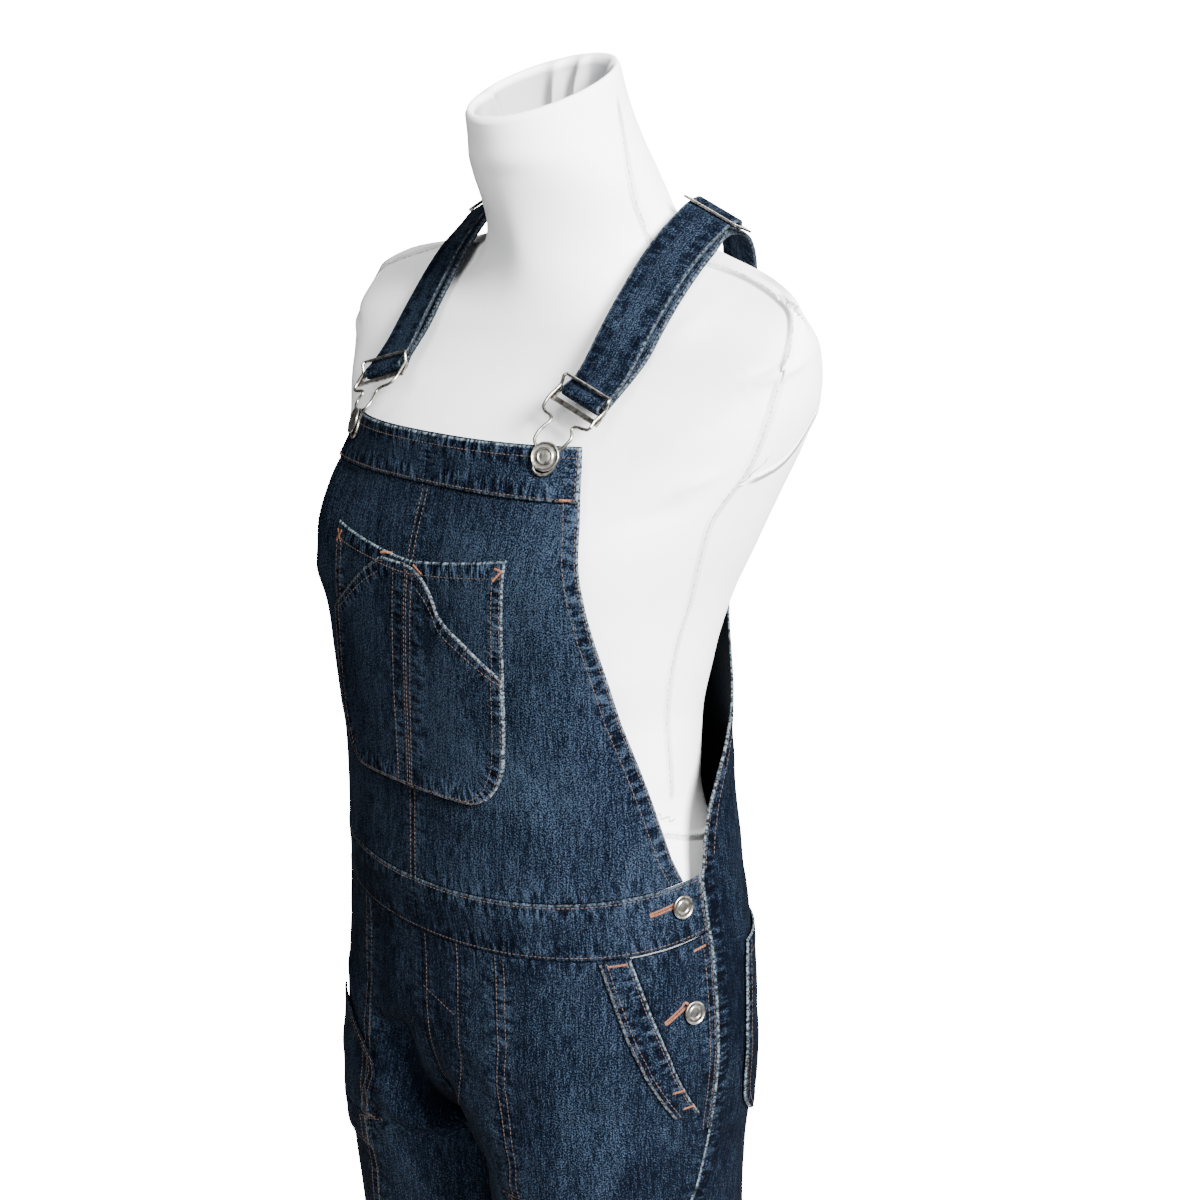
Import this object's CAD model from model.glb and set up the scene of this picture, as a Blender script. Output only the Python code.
"""Bib overalls on a dress form: cloth, sewing, fasteners, form and stand.

Laid out as an add-on. The sidebar of the 3D view has a button for each group
of pieces, and running the file makes them all.
"""
import math

import bmesh
import bpy
import numpy as np
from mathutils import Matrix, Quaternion, Vector
from mathutils.bvhtree import BVHTree
from mathutils.kdtree import KDTree


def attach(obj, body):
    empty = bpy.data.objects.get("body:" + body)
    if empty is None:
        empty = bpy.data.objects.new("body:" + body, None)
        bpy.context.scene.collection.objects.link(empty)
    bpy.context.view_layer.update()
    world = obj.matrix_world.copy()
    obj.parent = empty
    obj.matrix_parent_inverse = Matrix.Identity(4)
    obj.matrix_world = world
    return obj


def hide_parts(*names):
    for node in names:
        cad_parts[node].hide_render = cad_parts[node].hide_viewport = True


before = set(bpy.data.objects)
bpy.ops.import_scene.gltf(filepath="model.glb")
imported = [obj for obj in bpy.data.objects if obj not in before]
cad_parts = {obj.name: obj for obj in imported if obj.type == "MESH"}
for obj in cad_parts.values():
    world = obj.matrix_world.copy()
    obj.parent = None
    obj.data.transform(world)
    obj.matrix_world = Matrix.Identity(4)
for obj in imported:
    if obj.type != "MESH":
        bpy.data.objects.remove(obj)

bl_info = {
    "name": "Bib overalls on a dress form",
    "version": (1, 0, 0),
    "blender": (4, 5, 0),
    "location": "View3D > Sidebar > Overalls",
    "description": "Builds the cloth, sewing, fasteners, form and stand",
    "category": "Object",
}

# The cloth's form, in metres. The seam gap is closed up here, so that no
# light shows through it.
CLOTH = 0.0012
SEAM = 0.00003
LAYER = 0.0018
STRAP_WIDE = 0.037
STRAP_THICK = 0.0020
WIRE = 0.0022
WAIST_Z = 1.011
BAND_HIGH = 0.040
BAND_RISE = 0.015
BIB_TOP = 1.312
POCKET_TOP = 1.236
POCKET_FOOT = 1.076
POCKET_SAG = 0.006
SEAT_Z = 0.905
CROTCH_Z = 0.795
HEM_Z = 0.055
BACK_TOP = 1.345
BIB_BUTTON = 0.0095
SIDE_BUTTON = 0.0080
BAR_H = 0.0036
LOOP = 0.0032
SLIDER_AT = 0.158
POLE_X = -0.086

# height, half width, front depth, back depth, middle y, front and back
# squareness, gap between the legs
SECTIONS = (
    (0.055, 0.1400, 0.0680, 0.0760, 0.012, 2.10, 2.10, 0.030),
    (0.300, 0.1500, 0.0750, 0.0800, 0.012, 2.10, 2.10, 0.024),
    (0.500, 0.1560, 0.0840, 0.0820, 0.010, 2.15, 2.10, 0.016),
    (0.700, 0.1600, 0.0960, 0.0820, 0.004, 2.20, 2.15, 0.006),
    (0.795, 0.1614, 0.1049, 0.0850, 0.000, 2.20, 2.20, 0.000),
    (0.860, 0.1670, 0.1085, 0.1026, 0.000, 2.20, 2.20, 0.000),
    (0.905, 0.1710, 0.1147, 0.1085, 0.000, 2.20, 2.20, 0.000),
    (0.965, 0.1641, 0.1153, 0.1145, 0.000, 2.15, 2.15, 0.000),
    (1.003, 0.1586, 0.1205, 0.1130, 0.000, 2.15, 2.15, 0.000),
    (1.080, 0.1520, 0.1212, 0.0995, 0.002, 2.40, 2.10, 0.000),
    (1.160, 0.1560, 0.1240, 0.0890, 0.004, 2.70, 2.10, 0.000),
    (1.230, 0.1739, 0.1259, 0.0915, 0.010, 2.80, 2.20, 0.000),
    (1.280, 0.1616, 0.1189, 0.0980, 0.018, 2.70, 2.30, 0.000),
    (1.318, 0.1465, 0.1216, 0.0980, 0.026, 2.40, 2.30, 0.000),
    (1.400, 0.1450, 0.1150, 0.0980, 0.034, 2.30, 2.30, 0.000),
)
# side, face, one end's distance from the centre and height, the other end's,
# half width, height out of the cloth
FOLDS = (
    (+1, "front", 0.030, 0.850, 0.110, 0.905, 0.012, 0.0022),
    (+1, "front", 0.060, 0.800, 0.150, 0.868, 0.014, -0.0025),
    (-1, "front", 0.040, 0.845, 0.120, 0.900, 0.013, 0.0020),
    (+1, "front", 0.110, 0.640, 0.170, 0.700, 0.022, 0.0030),
    (-1, "front", 0.100, 0.600, 0.180, 0.640, 0.022, 0.0030),
    (+1, "front", 0.100, 0.470, 0.185, 0.500, 0.020, -0.0030),
    (-1, "front", 0.090, 0.510, 0.170, 0.475, 0.020, -0.0030),
    (+1, "front", 0.100, 0.160, 0.180, 0.130, 0.020, 0.0035),
    (-1, "front", 0.090, 0.120, 0.170, 0.160, 0.020, 0.0035),
    (+1, "front", 0.095, 1.120, 0.120, 1.215, 0.014, 0.0018),
    (-1, "front", 0.100, 1.110, 0.118, 1.200, 0.014, 0.0018),
    (+1, "front", 0.135, 1.040, 0.105, 1.105, 0.012, -0.0020),
    (-1, "front", 0.118, 1.205, 0.114, 1.262, 0.017, 0.0042),
    (+1, "back", 0.060, 0.790, 0.150, 0.760, 0.016, 0.0030),
    (-1, "back", 0.060, 0.780, 0.150, 0.755, 0.016, 0.0030),
    (+1, "back", 0.090, 0.560, 0.180, 0.520, 0.022, -0.0035),
    (-1, "back", 0.090, 0.530, 0.180, 0.560, 0.022, -0.0035),
    (+1, "back", 0.050, 1.050, 0.120, 1.085, 0.014, 0.0020),
    (-1, "back", 0.055, 1.060, 0.115, 1.090, 0.014, 0.0020),
)
# Smaller creases that only show, listed the same way.
CREASES = (
    (-1, "front", 0.022, 0.742, 0.042, 0.872, 0.018, -0.0150),
    (+1, "front", 0.004, 0.742, 0.006, 0.835, 0.012, -0.0090),
    (-1, "front", 0.050, 0.880, 0.078, 0.790, 0.012, 0.0030),
    (+1, "front", 0.012, 0.905, 0.050, 0.875, 0.006, -0.0012),
    (+1, "front", 0.020, 0.872, 0.062, 0.838, 0.007, 0.0012),
    (-1, "front", 0.014, 0.900, 0.054, 0.872, 0.006, -0.0012),
    (-1, "front", 0.030, 0.935, 0.055, 0.850, 0.008, 0.0014),
    (-1, "front", 0.062, 0.955, 0.082, 0.880, 0.007, -0.0010),
    (+1, "front", 0.090, 0.960, 0.100, 0.880, 0.012, 0.0008),
    (+1, "front", 0.118, 0.955, 0.135, 0.870, 0.010, -0.0008),
    (+1, "front", 0.092, 0.830, 0.170, 0.835, 0.012, 0.0012),
    (+1, "front", 0.105, 0.790, 0.180, 0.800, 0.010, -0.0010),
    (-1, "front", 0.085, 0.820, 0.165, 0.842, 0.012, 0.0012),
    (+1, "front", 0.030, 1.048, 0.100, 1.040, 0.007, -0.0007),
    (+1, "front", 0.100, 1.060, 0.150, 1.075, 0.008, 0.0007),
    (-1, "front", 0.030, 1.050, 0.105, 1.044, 0.007, -0.0007),
    (+1, "front", 0.108, 1.240, 0.118, 1.290, 0.007, 0.0009),
    (+1, "front", 0.020, 1.262, 0.088, 1.268, 0.008, -0.0006),
    (-1, "front", 0.020, 1.258, 0.090, 1.266, 0.008, -0.0006),
    (+1, "front", 0.090, 0.730, 0.180, 0.745, 0.012, -0.0014),
    (-1, "front", 0.085, 0.720, 0.175, 0.760, 0.012, -0.0014),
    (+1, "front", 0.070, 0.560, 0.150, 0.585, 0.012, 0.0014),
    (-1, "front", 0.080, 0.550, 0.150, 0.575, 0.012, 0.0014),
    (+1, "front", 0.060, 0.380, 0.170, 0.400, 0.014, 0.0016),
    (-1, "front", 0.070, 0.390, 0.160, 0.375, 0.014, 0.0016),
    (+1, "front", 0.080, 0.100, 0.150, 0.115, 0.010, -0.0014),
    (-1, "front", 0.080, 0.085, 0.150, 0.100, 0.010, -0.0014),
    (+1, "back", 0.030, 0.850, 0.120, 0.810, 0.012, -0.0016),
    (-1, "back", 0.030, 0.845, 0.120, 0.812, 0.012, -0.0016),
    (+1, "back", 0.070, 0.740, 0.170, 0.700, 0.014, -0.0018),
    (-1, "back", 0.070, 0.735, 0.170, 0.705, 0.014, -0.0018),
    (+1, "back", 0.080, 0.600, 0.170, 0.580, 0.012, 0.0016),
    (-1, "back", 0.080, 0.590, 0.170, 0.595, 0.012, 0.0016),
    (+1, "back", 0.070, 0.330, 0.170, 0.350, 0.014, 0.0016),
    (-1, "back", 0.070, 0.340, 0.170, 0.325, 0.014, 0.0016),
    (+1, "back", 0.030, 1.000, 0.140, 1.010, 0.012, -0.0012),
    (-1, "back", 0.030, 1.004, 0.140, 1.006, 0.012, -0.0012),
    (+1, "back", 0.020, 1.150, 0.060, 1.240, 0.012, 0.0010),
    (-1, "back", 0.024, 1.140, 0.058, 1.230, 0.012, 0.0010),
)
# height, distance from the centre of the slanted opening and of the inner
# edge of its band
SLANT = (
    (0.984, 0.1610, 0.1390), (0.960, 0.1690, 0.1462), (0.942, 0.1762, 0.1530),
    (0.922, 0.1851, 0.1610), (0.900, 0.1942, 0.1715), (0.874, 0.2078, 0.1870),
    (0.858, 0.2190, 0.1985),
)
BIB_EDGE = (
    (1.010, 0.2040), (1.030, 0.1947), (1.056, 0.1861), (1.100, 0.1725), (1.134, 0.1617),
    (1.170, 0.1527), (1.222, 0.1403), (1.246, 0.1335), (1.280, 0.1245), (1.320, 0.1160),
)
ARMHOLE = (
    (1.026, 0.2150), (1.045, 0.2080), (1.070, 0.1960), (1.090, 0.1830), (1.110, 0.1670),
    (1.130, 0.1490), (1.150, 0.1310), (1.175, 0.1140), (1.210, 0.0980), (1.260, 0.0830),
    (1.310, 0.0720), (1.345, 0.0670),
)
# outer face of the strap's top layer: x, y, z, turn of its width and the
# drop of its outer edge in degrees
STRAP_LINE = (
    (0.1000, -0.0550, 1.3395, 12.0, 0.0), (0.1022, -0.0480, 1.3458, 12.0, 0.0),
    (0.1034, -0.0370, 1.3588, 11.5, 3.0), (0.1037, -0.0280, 1.3712, 11.0, 6.0),
    (0.1044, -0.0100, 1.3945, 9.0, 11.0), (0.1057, 0.0085, 1.4158, 7.0, 16.0),
    (0.1066, 0.0290, 1.4342, 3.0, 21.5), (0.1072, 0.0520, 1.4450, 0.0, 23.0),
    (0.1050, 0.0720, 1.4440, -4.0, 23.0), (0.0980, 0.0905, 1.4320, -9.0, 20.0),
    (0.0880, 0.1055, 1.4120, -12.0, 14.0), (0.0755, 0.1180, 1.3870, -10.0, 8.0),
    (0.0610, 0.1280, 1.3620, -6.0, 3.0), (0.0500, 0.1335, 1.3460, -4.0, 0.0),
)
# dress form: height, half width, front, back, middle y, squareness, how far
# the shoulder ends come forward
FORM = (
    (0.8450, 0.1250, 0.0620, 0.0720, 0.000, 2.2, 0.0),
    (0.8500, 0.1380, 0.0740, 0.0830, 0.000, 2.2, 0.0),
    (0.8660, 0.1500, 0.0840, 0.0930, 0.000, 2.2, 0.0),
    (0.9050, 0.1570, 0.0930, 0.1000, 0.000, 2.2, 0.0),
    (0.9650, 0.1500, 0.0960, 0.1030, 0.000, 2.2, 0.0),
    (1.0200, 0.1380, 0.0930, 0.0930, 0.000, 2.2, 0.0),
    (1.0700, 0.1250, 0.0900, 0.0820, 0.001, 2.2, 0.0),
    (1.1150, 0.1260, 0.0980, 0.0790, 0.003, 2.2, 0.0),
    (1.1600, 0.1350, 0.1120, 0.0790, 0.004, 2.3, 0.0),
    (1.2000, 0.1470, 0.1190, 0.0820, 0.008, 2.3, 0.002),
    (1.2400, 0.1660, 0.1160, 0.0850, 0.013, 2.3, 0.004),
    (1.2750, 0.1830, 0.1040, 0.0830, 0.021, 2.3, 0.008),
    (1.3100, 0.2000, 0.0920, 0.0790, 0.033, 2.3, 0.016),
    (1.3460, 0.2120, 0.0790, 0.0740, 0.045, 2.2, 0.024),
    (1.3690, 0.2150, 0.0730, 0.0660, 0.049, 2.0, 0.028),
    (1.3980, 0.2050, 0.0700, 0.0520, 0.053, 1.25, 0.028),
    (1.4130, 0.1760, 0.0740, 0.0450, 0.056, 1.00, 0.024),
    (1.4250, 0.1140, 0.0780, 0.0390, 0.057, 1.1, 0.006),
    (1.4370, 0.0830, 0.0760, 0.0430, 0.051, 1.5, 0.0),
    (1.4500, 0.0745, 0.0720, 0.0460, 0.042, 1.8, 0.0),
    (1.4680, 0.0685, 0.0650, 0.0500, 0.031, 1.95, 0.0),
    (1.4870, 0.0615, 0.0580, 0.0510, 0.018, 2.0, 0.0),
    (1.5060, 0.0555, 0.0530, 0.0500, 0.010, 2.0, 0.0),
    (1.5240, 0.0520, 0.0510, 0.0490, 0.005, 2.0, 0.0),
)

Z_LOW, Z_STEP, Z_COUNT = 0.053, 0.002, 676
S_STEP, S_COUNT = 0.001, 540


def mix(a, b, t):
    return a + (b - a) * t


def unit(v):
    v = np.asarray(v, float)
    return v / np.linalg.norm(v, axis=-1, keepdims=True)


def power(value, exponent):
    return np.sign(value) * np.abs(value) ** exponent


def ease(a, b, x):
    """Soft step from 0 at a to 1 at b."""
    t = np.clip((x - a) / (b - a), 0.0, 1.0)
    return t * t * (3 - 2 * t)


def hermite(t, a, b, h, slope_a, slope_b):
    """Cubic from a to b over a step of h, with a slope at each end."""
    return ((2 * t**3 - 3 * t**2 + 1) * a + (t**3 - 2 * t**2 + t) * h * slope_a
            + (3 * t**2 - 2 * t**3) * b + (t**3 - t**2) * h * slope_b)


def run_along(points):
    """Distance of each point along the line."""
    return np.concatenate([[0.0], np.cumsum(np.linalg.norm(np.diff(points, axis=0), axis=1))])


def curve_through(x, xs, ys):
    """Cubic through the points with no overshoot."""
    xs, ys, x = np.asarray(xs, float), np.asarray(ys, float), np.asarray(x, float)
    h = np.diff(xs)
    d = np.diff(ys) / h
    m = np.empty(len(xs))
    m[0], m[-1] = d[0], d[-1]
    for k in range(1, len(xs) - 1):
        same = d[k - 1] * d[k] > 0
        m[k] = 2 * d[k - 1] * d[k] / (d[k - 1] + d[k]) if same else 0.0
    i = np.clip(np.searchsorted(xs, x) - 1, 0, len(h) - 1)
    t = np.clip((x - xs[i]) / h[i], 0.0, 1.0)
    return hermite(t, ys[i], ys[i + 1], h[i], m[i], m[i + 1])


def column(table, z, at=1):
    rows = sorted(table)
    return np.interp(z, [r[0] for r in rows], [r[at] for r in rows])


def section(z):
    """Smooth values of the section table at height z."""
    table = np.array(SECTIONS)
    zs = table[:, 0]
    z = min(max(z, zs[0]), zs[-1])
    i = min(max(int(np.searchsorted(zs, z)) - 1, 0), len(zs) - 2)
    step = zs[i + 1] - zs[i]
    t = (z - zs[i]) / step
    lo, hi = max(i - 1, 0), min(i + 2, len(zs) - 1)
    a, b = table[i, 1:], table[i + 1, 1:]
    slope_a = (b - table[lo, 1:]) / (zs[i + 1] - zs[lo]) * step
    slope_b = (table[hi, 1:] - a) / (zs[hi] - zs[i]) * step
    return hermite(t, a, b, 1, slope_a, slope_b)


def half_ring(z):
    """Points from the centre front round one side to the centre back, and
    how far round the cloth each is."""
    wide, front, back, middle, n_front, n_back, gap = section(z)
    part = min(max((SEAT_Z - z) / (SEAT_Z - CROTCH_Z), 0.0), 1.0)
    reach_f = math.pi / 2 + math.asin(min(1.0, part ** (n_front / 2)))
    reach_b = math.pi / 2 + math.asin(min(1.0, part ** (n_back / 2)))
    across = (wide - gap * part) / (1 + part)
    centre = gap * part + across * part
    turn = np.concatenate([np.linspace(-reach_f, 0, 150, endpoint=False),
                           np.linspace(0, reach_b, 151)])
    n = np.where(turn < 0, n_front, n_back)
    deep = np.where(turn < 0, front, back)
    x = centre + across * power(np.cos(turn), 2 / n) + 0.0003 * part
    y = middle + deep * power(np.sin(turn), 2 / n)
    step = np.hypot(np.diff(x), np.diff(y))
    return x, y, np.concatenate([[0.0], np.cumsum(step)])


def make_lattice():
    """The form on even steps of height and of distance round the cloth."""
    front = np.empty((Z_COUNT, S_COUNT, 2))
    back = np.empty((Z_COUNT, S_COUNT, 2))
    half = np.empty(Z_COUNT)
    steps = np.arange(S_COUNT) * S_STEP
    for j in range(Z_COUNT):
        x, y, run = half_ring(Z_LOW + Z_STEP * j)
        half[j] = run[-1]
        for table, s in ((front, steps), (back, run[-1] - steps)):
            table[j, :, 0] = np.interp(s, run, x)
            table[j, :, 1] = np.interp(s, run, y)
    return {"front": front, "back": back, "half": half}


LATTICE = make_lattice()


def girth(z):
    return np.interp(z, Z_LOW + Z_STEP * np.arange(Z_COUNT), LATTICE["half"])


def spot(side, face, s, z):
    """Outer face of the cloth. A minus s crosses the centre line."""
    s, z = np.broadcast_arrays(np.asarray(s, float), np.asarray(z, float))
    table = LATTICE[face]
    a = np.clip(np.abs(s) / S_STEP, 0, S_COUNT - 1.001)
    b = np.clip((z - Z_LOW) / Z_STEP, 0, Z_COUNT - 1.001)
    i, j = a.astype(int), b.astype(int)
    p, q = (a - i)[..., None], (b - j)[..., None]
    low = mix(table[j, i], table[j, i + 1], p)
    high = mix(table[j + 1, i], table[j + 1, i + 1], p)
    xy = mix(low, high, q)
    return np.stack([xy[..., 0] * side * np.where(s < 0, -1.0, 1.0), xy[..., 1], z], -1)


def outward(side, face, s, z, d=0.002):
    s, z = np.broadcast_arrays(np.asarray(s, float), np.asarray(z, float))
    turn = side * np.where(s < 0, -1.0, 1.0)
    near = np.abs(s)
    ones = spot(1, face, near + d, z) - spot(1, face, np.maximum(near - d, 0.0), z)
    up = spot(1, face, near, z + d) - spot(1, face, near, z - d)
    out = np.cross(ones, up)
    if face == "back":
        out = -out
    flat = (near < 0.001) & (z >= SEAT_Z)
    out[..., 0] = np.where(flat, 0.0, out[..., 0])
    out = unit(out)
    out[..., 0] *= turn
    return out


def relief(side, face, s, z, tables=(FOLDS, CREASES)):
    """Height of the folds and creases that all layers share."""
    total = np.zeros(np.broadcast(s, z).shape)
    here = side * np.where(s < 0, -1, 1)
    near = np.abs(s)
    for f_side, f_face, s0, z0, s1, z1, wide, high in [row for table in tables for row in table]:
        if f_face != face:
            continue
        along = np.array([s1 - s0, z1 - z0])
        length = np.hypot(*along)
        t = ((near - s0) * along[0] + (z - z0) * along[1]) / length**2
        off = np.abs((near - s0) * along[1] - (z - z0) * along[0]) / length
        over = np.maximum(np.maximum(-t, t - 1.0), 0.0) * length
        total += np.where(here == f_side, high * np.exp(-(off / wide) ** 2 - (over / wide) ** 2), 0.0)
    return total


def cloth(side, face, s, z):
    """Point on the cloth's outer face and the direction out of it."""
    out = outward(side, face, s, z)
    return spot(side, face, s, z) + out * relief(side, face, s, z)[..., None], out


def rise(s, z):
    """Waistband lift at s."""
    return BAND_RISE * np.minimum(1.0, 2 * np.abs(s) / girth(z)) ** 2


# How each piece lies: u runs from the centre outward and v along the height.
def bib_half(u, v):
    z = mix(WAIST_Z + SEAM, BIB_TOP - SEAM, v)
    s = mix(SEAM, column(BIB_EDGE, z) - SEAM, u)
    return s, z + (1 - v) * rise(s, WAIST_Z)


def bib_band(u, v):
    z = mix(BIB_TOP - 0.0335, BIB_TOP - 0.0008, v)
    return mix(SEAM, column(BIB_EDGE, z) - 0.0008, u), z


def waist_half(u, v):
    z = mix(WAIST_Z - BAND_HIGH + SEAM, WAIST_Z - SEAM, v)
    s = mix(SEAM, mix(0.2225, 0.2175, v) - SEAM, u)
    return s, z + rise(s, WAIST_Z)


def even_rows(heights, v):
    """Height at v when the rows stand at the listed heights."""
    return np.interp(v, np.linspace(0.0, 1.0, len(heights)), heights)


POCKET_ROWS = (POCKET_TOP, 1.212, 1.185, 1.158, 1.130, 1.106, 1.090, 1.081, POCKET_FOOT)
POCKET_REACH = (0.0860, 0.0868, 0.0870, 0.0870, 0.0865, 0.0840, 0.0775, 0.0690, 0.0560)


def pocket_half(u, v):
    z = even_rows(POCKET_ROWS, v)
    z = z - (POCKET_SAG - 2 * POCKET_SAG * np.abs(2 * u - 1) ** 1.3) * np.maximum(0.0, 1 - 4 * v)
    reach = curve_through(v, np.linspace(0, 1, len(POCKET_REACH)), POCKET_REACH)
    return mix(-reach, reach, u), z


FOOT_S = (0.0, 0.055, 0.069, 0.0775, 0.084, 0.0868)
FOOT_Z = (POCKET_FOOT, POCKET_FOOT, 1.081, 1.090, 1.106, 1.128)


def tool_right(u, v):
    s = -mix(0.0030, 0.0868, u)
    top = curve_through(-s, (0.0, 0.026, 0.034, 0.0868),
                        (POCKET_TOP - 0.0085, POCKET_TOP - 0.0080, 1.2245, 1.183))
    return s, mix(curve_through(-s, FOOT_S, FOOT_Z), top, v)


def tool_left(u, v):
    s = mix(-0.0026, 0.0868, u)
    top = curve_through(s, (-0.003, 0.006, 0.017, 0.028, 0.034, 0.059, 0.0868),
                        (1.2275, 1.2260, 1.221, 1.210, 1.200, 1.184, 1.166))
    return s, mix(curve_through(np.maximum(s, 0.0), FOOT_S, FOOT_Z), top, v)


LEG_ROWS = (0.971, 0.950, 0.928, 0.905, 0.882, 0.858, 0.838, 0.820, 0.806, 0.7985, 0.7955,
            0.790, 0.768, 0.725, 0.650, 0.540, 0.420, 0.290, 0.160, HEM_Z)
BACK_ROWS = (BACK_TOP, 1.318, 1.285, 1.250, 1.215, 1.180, 1.150, 1.125, 1.100, 1.075, 1.050,
             1.026, 0.998) + LEG_ROWS


def leg_height(v, share):
    z = even_rows(LEG_ROWS, v)
    lift = np.maximum(0.0, 1 - v * (len(LEG_ROWS) - 1) / 4)
    return z + lift * BAND_RISE * share**2 - SEAM * (v < 1e-9)


def s_at_x(z, x):
    """Distance from the centre of a point at x on the front, one height."""
    line = LATTICE["front"][int(round((z - Z_LOW) / Z_STEP))]
    first = int(np.argmin(line[:, 1]))
    last = int(np.argmax(line[:, 0]))
    return float(np.interp(x, line[first:last, 0], np.arange(first, last) * S_STEP))


def front_seam_x(z):
    return np.interp(z, (0.055, 0.70, 0.80, 0.83, 0.86, 0.97),
                     (0.084, 0.083, 0.078, 0.074, 0.070, 0.066))


SEAM_Z = np.arange(0.720, 1.001, 0.004)
SEAM_S = np.array([s_at_x(z, front_seam_x(z)) for z in SEAM_Z])


def seam_s(z):
    share = np.clip((0.80 - z) / 0.08, 0.0, 1.0)
    return mix(np.interp(z, SEAM_Z, SEAM_S), girth(z) * 0.265, share)


def side_s(z):
    return girth(z) / 2 + np.interp(z, (0.7, 0.80), (0.0, 0.001))


def outer_edge(z):
    low = mix(column(SLANT, 0.858), side_s(z), np.clip((0.858 - z) / 0.018, 0.0, 1.0))
    return np.where(z > 0.858, column(SLANT, z), low)


def leg_inner(u, v):
    z = leg_height(v, u * 0.3)
    return mix(SEAM, seam_s(z) - SEAM, u), z


def leg_outer(u, v):
    z = leg_height(v, 0.3 + 0.42 * u)
    return mix(seam_s(z) + SEAM, outer_edge(z) - SEAM, u), z


def pocket_side(u, v):
    z = even_rows((0.9705, 0.950, 0.928, 0.905, 0.882, 0.860, 0.8445), v)
    z = z + BAND_RISE * mix(0.72, 1.0, u) ** 2 * (1 - v)
    return mix(outer_edge(z) + 2 * SEAM, side_s(z) - 2 * SEAM, u), z


def slant_band(u, v):
    z = even_rows((0.9700, 0.950, 0.928, 0.905, 0.882, 0.862), v)
    z = z + BAND_RISE * mix(0.62, 0.74, u) ** 2 * (1 - v)
    return mix(column(SLANT, z, 2), outer_edge(z) - 0.0008, u), z


def back_half(u, v):
    z = even_rows(BACK_ROWS, v)
    edge = np.where(z > 1.026, column(ARMHOLE, z), girth(z) - side_s(z))
    return mix(SEAM, edge - SEAM, u), z


def back_pocket(u, v):
    z = even_rows((0.966, 0.944, 0.920, 0.897, 0.875, 0.853, 0.838, 0.824), v)
    steps = np.linspace(0, 1, 8)
    near = curve_through(v, steps, (0.052, 0.050, 0.048, 0.047, 0.047, 0.048, 0.058, 0.080))
    far = curve_through(v, steps, (0.182, 0.190, 0.195, 0.197, 0.196, 0.192, 0.178, 0.150))
    return mix(near, far, u), z


PATCH_Z = np.arange(0.760, 0.881, 0.004)
PATCH_S = np.array([s_at_x(z, np.interp(z, (0.768, 0.846), (0.050, 0.066))) for z in PATCH_Z])


def thigh_patch(u, v):
    z = mix(0.768, mix(0.846, 0.876, np.minimum(1.0, u * 1.6)), v)
    inner = np.interp(z, PATCH_Z, PATCH_S)
    return mix(inner, inner + 0.072, u), z


class Graph:
    """Short way to make and join the nodes of a tree."""

    def __init__(self, tree):
        self.tree = tree

    def node(self, kind, values=None, **settings):
        made = self.tree.nodes.new(kind)
        for name, value in settings.items():
            setattr(made, name, value)
        for name, value in (values or {}).items():
            if isinstance(value, bpy.types.NodeSocket):
                self.tree.links.new(value, made.inputs[name])
            else:
                made.inputs[name].default_value = value
        return made

    def sum(self, how, a, b=0.0, c=0.0, clamp=False):
        made = self.node("ShaderNodeMath", {0: a, 1: b, 2: c}, operation=how, use_clamp=clamp)
        return made.outputs[0]

    def blend(self, share, a, b, how="MIX"):
        made = self.node("ShaderNodeMix", {0: share, 6: a, 7: b}, data_type="RGBA", blend_type=how)
        return made.outputs[2]

    def noise(self, where, size, detail=2.0, rough=0.5, turn=(0.0, 0.0, 0.0), shift=(0.0, 0.0, 0.0)):
        """Noise whose patches are about as large as size, in metres."""
        scale = tuple(1.0 / s if s < 1.0 else 0.0 for s in size)
        placed = self.node("ShaderNodeMapping", {"Vector": where, "Scale": scale, "Rotation": turn,
                                                 "Location": shift})
        made = self.node("ShaderNodeTexNoise", {"Vector": placed.outputs[0], "Scale": 1.0,
                                                "Detail": detail, "Roughness": rough})
        return made.outputs[0]

    def band(self, value, lo, hi, out_lo=0.0, out_hi=1.0):
        made = self.node("ShaderNodeMapRange", {0: value, 1: lo, 2: hi, 3: out_lo, 4: out_hi},
                         interpolation_type="SMOOTHSTEP")
        return made.outputs[0]


def new_material(name):
    made = bpy.data.materials.new(name)
    made.use_nodes = True
    made.node_tree.nodes.clear()
    graph = Graph(made.node_tree)
    surface = graph.node("ShaderNodeBsdfPrincipled")
    out = graph.node("ShaderNodeOutputMaterial")
    graph.tree.links.new(surface.outputs[0], out.inputs[0])
    return made, graph, surface


def join(graph, socket, surface, name):
    graph.tree.links.new(socket, surface.inputs[name])


DARK = (0.0004, 0.0008, 0.0020, 1.0)
BLUE = (0.0020, 0.0041, 0.0097, 1.0)
WORN = (0.0220, 0.0335, 0.0520, 1.0)
PALE = (0.1150, 0.1420, 0.1620, 1.0)
INNER_DARK = (0.0020, 0.0026, 0.0033, 1.0)
INNER_PALE = (0.0065, 0.0082, 0.0100, 1.0)


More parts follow.
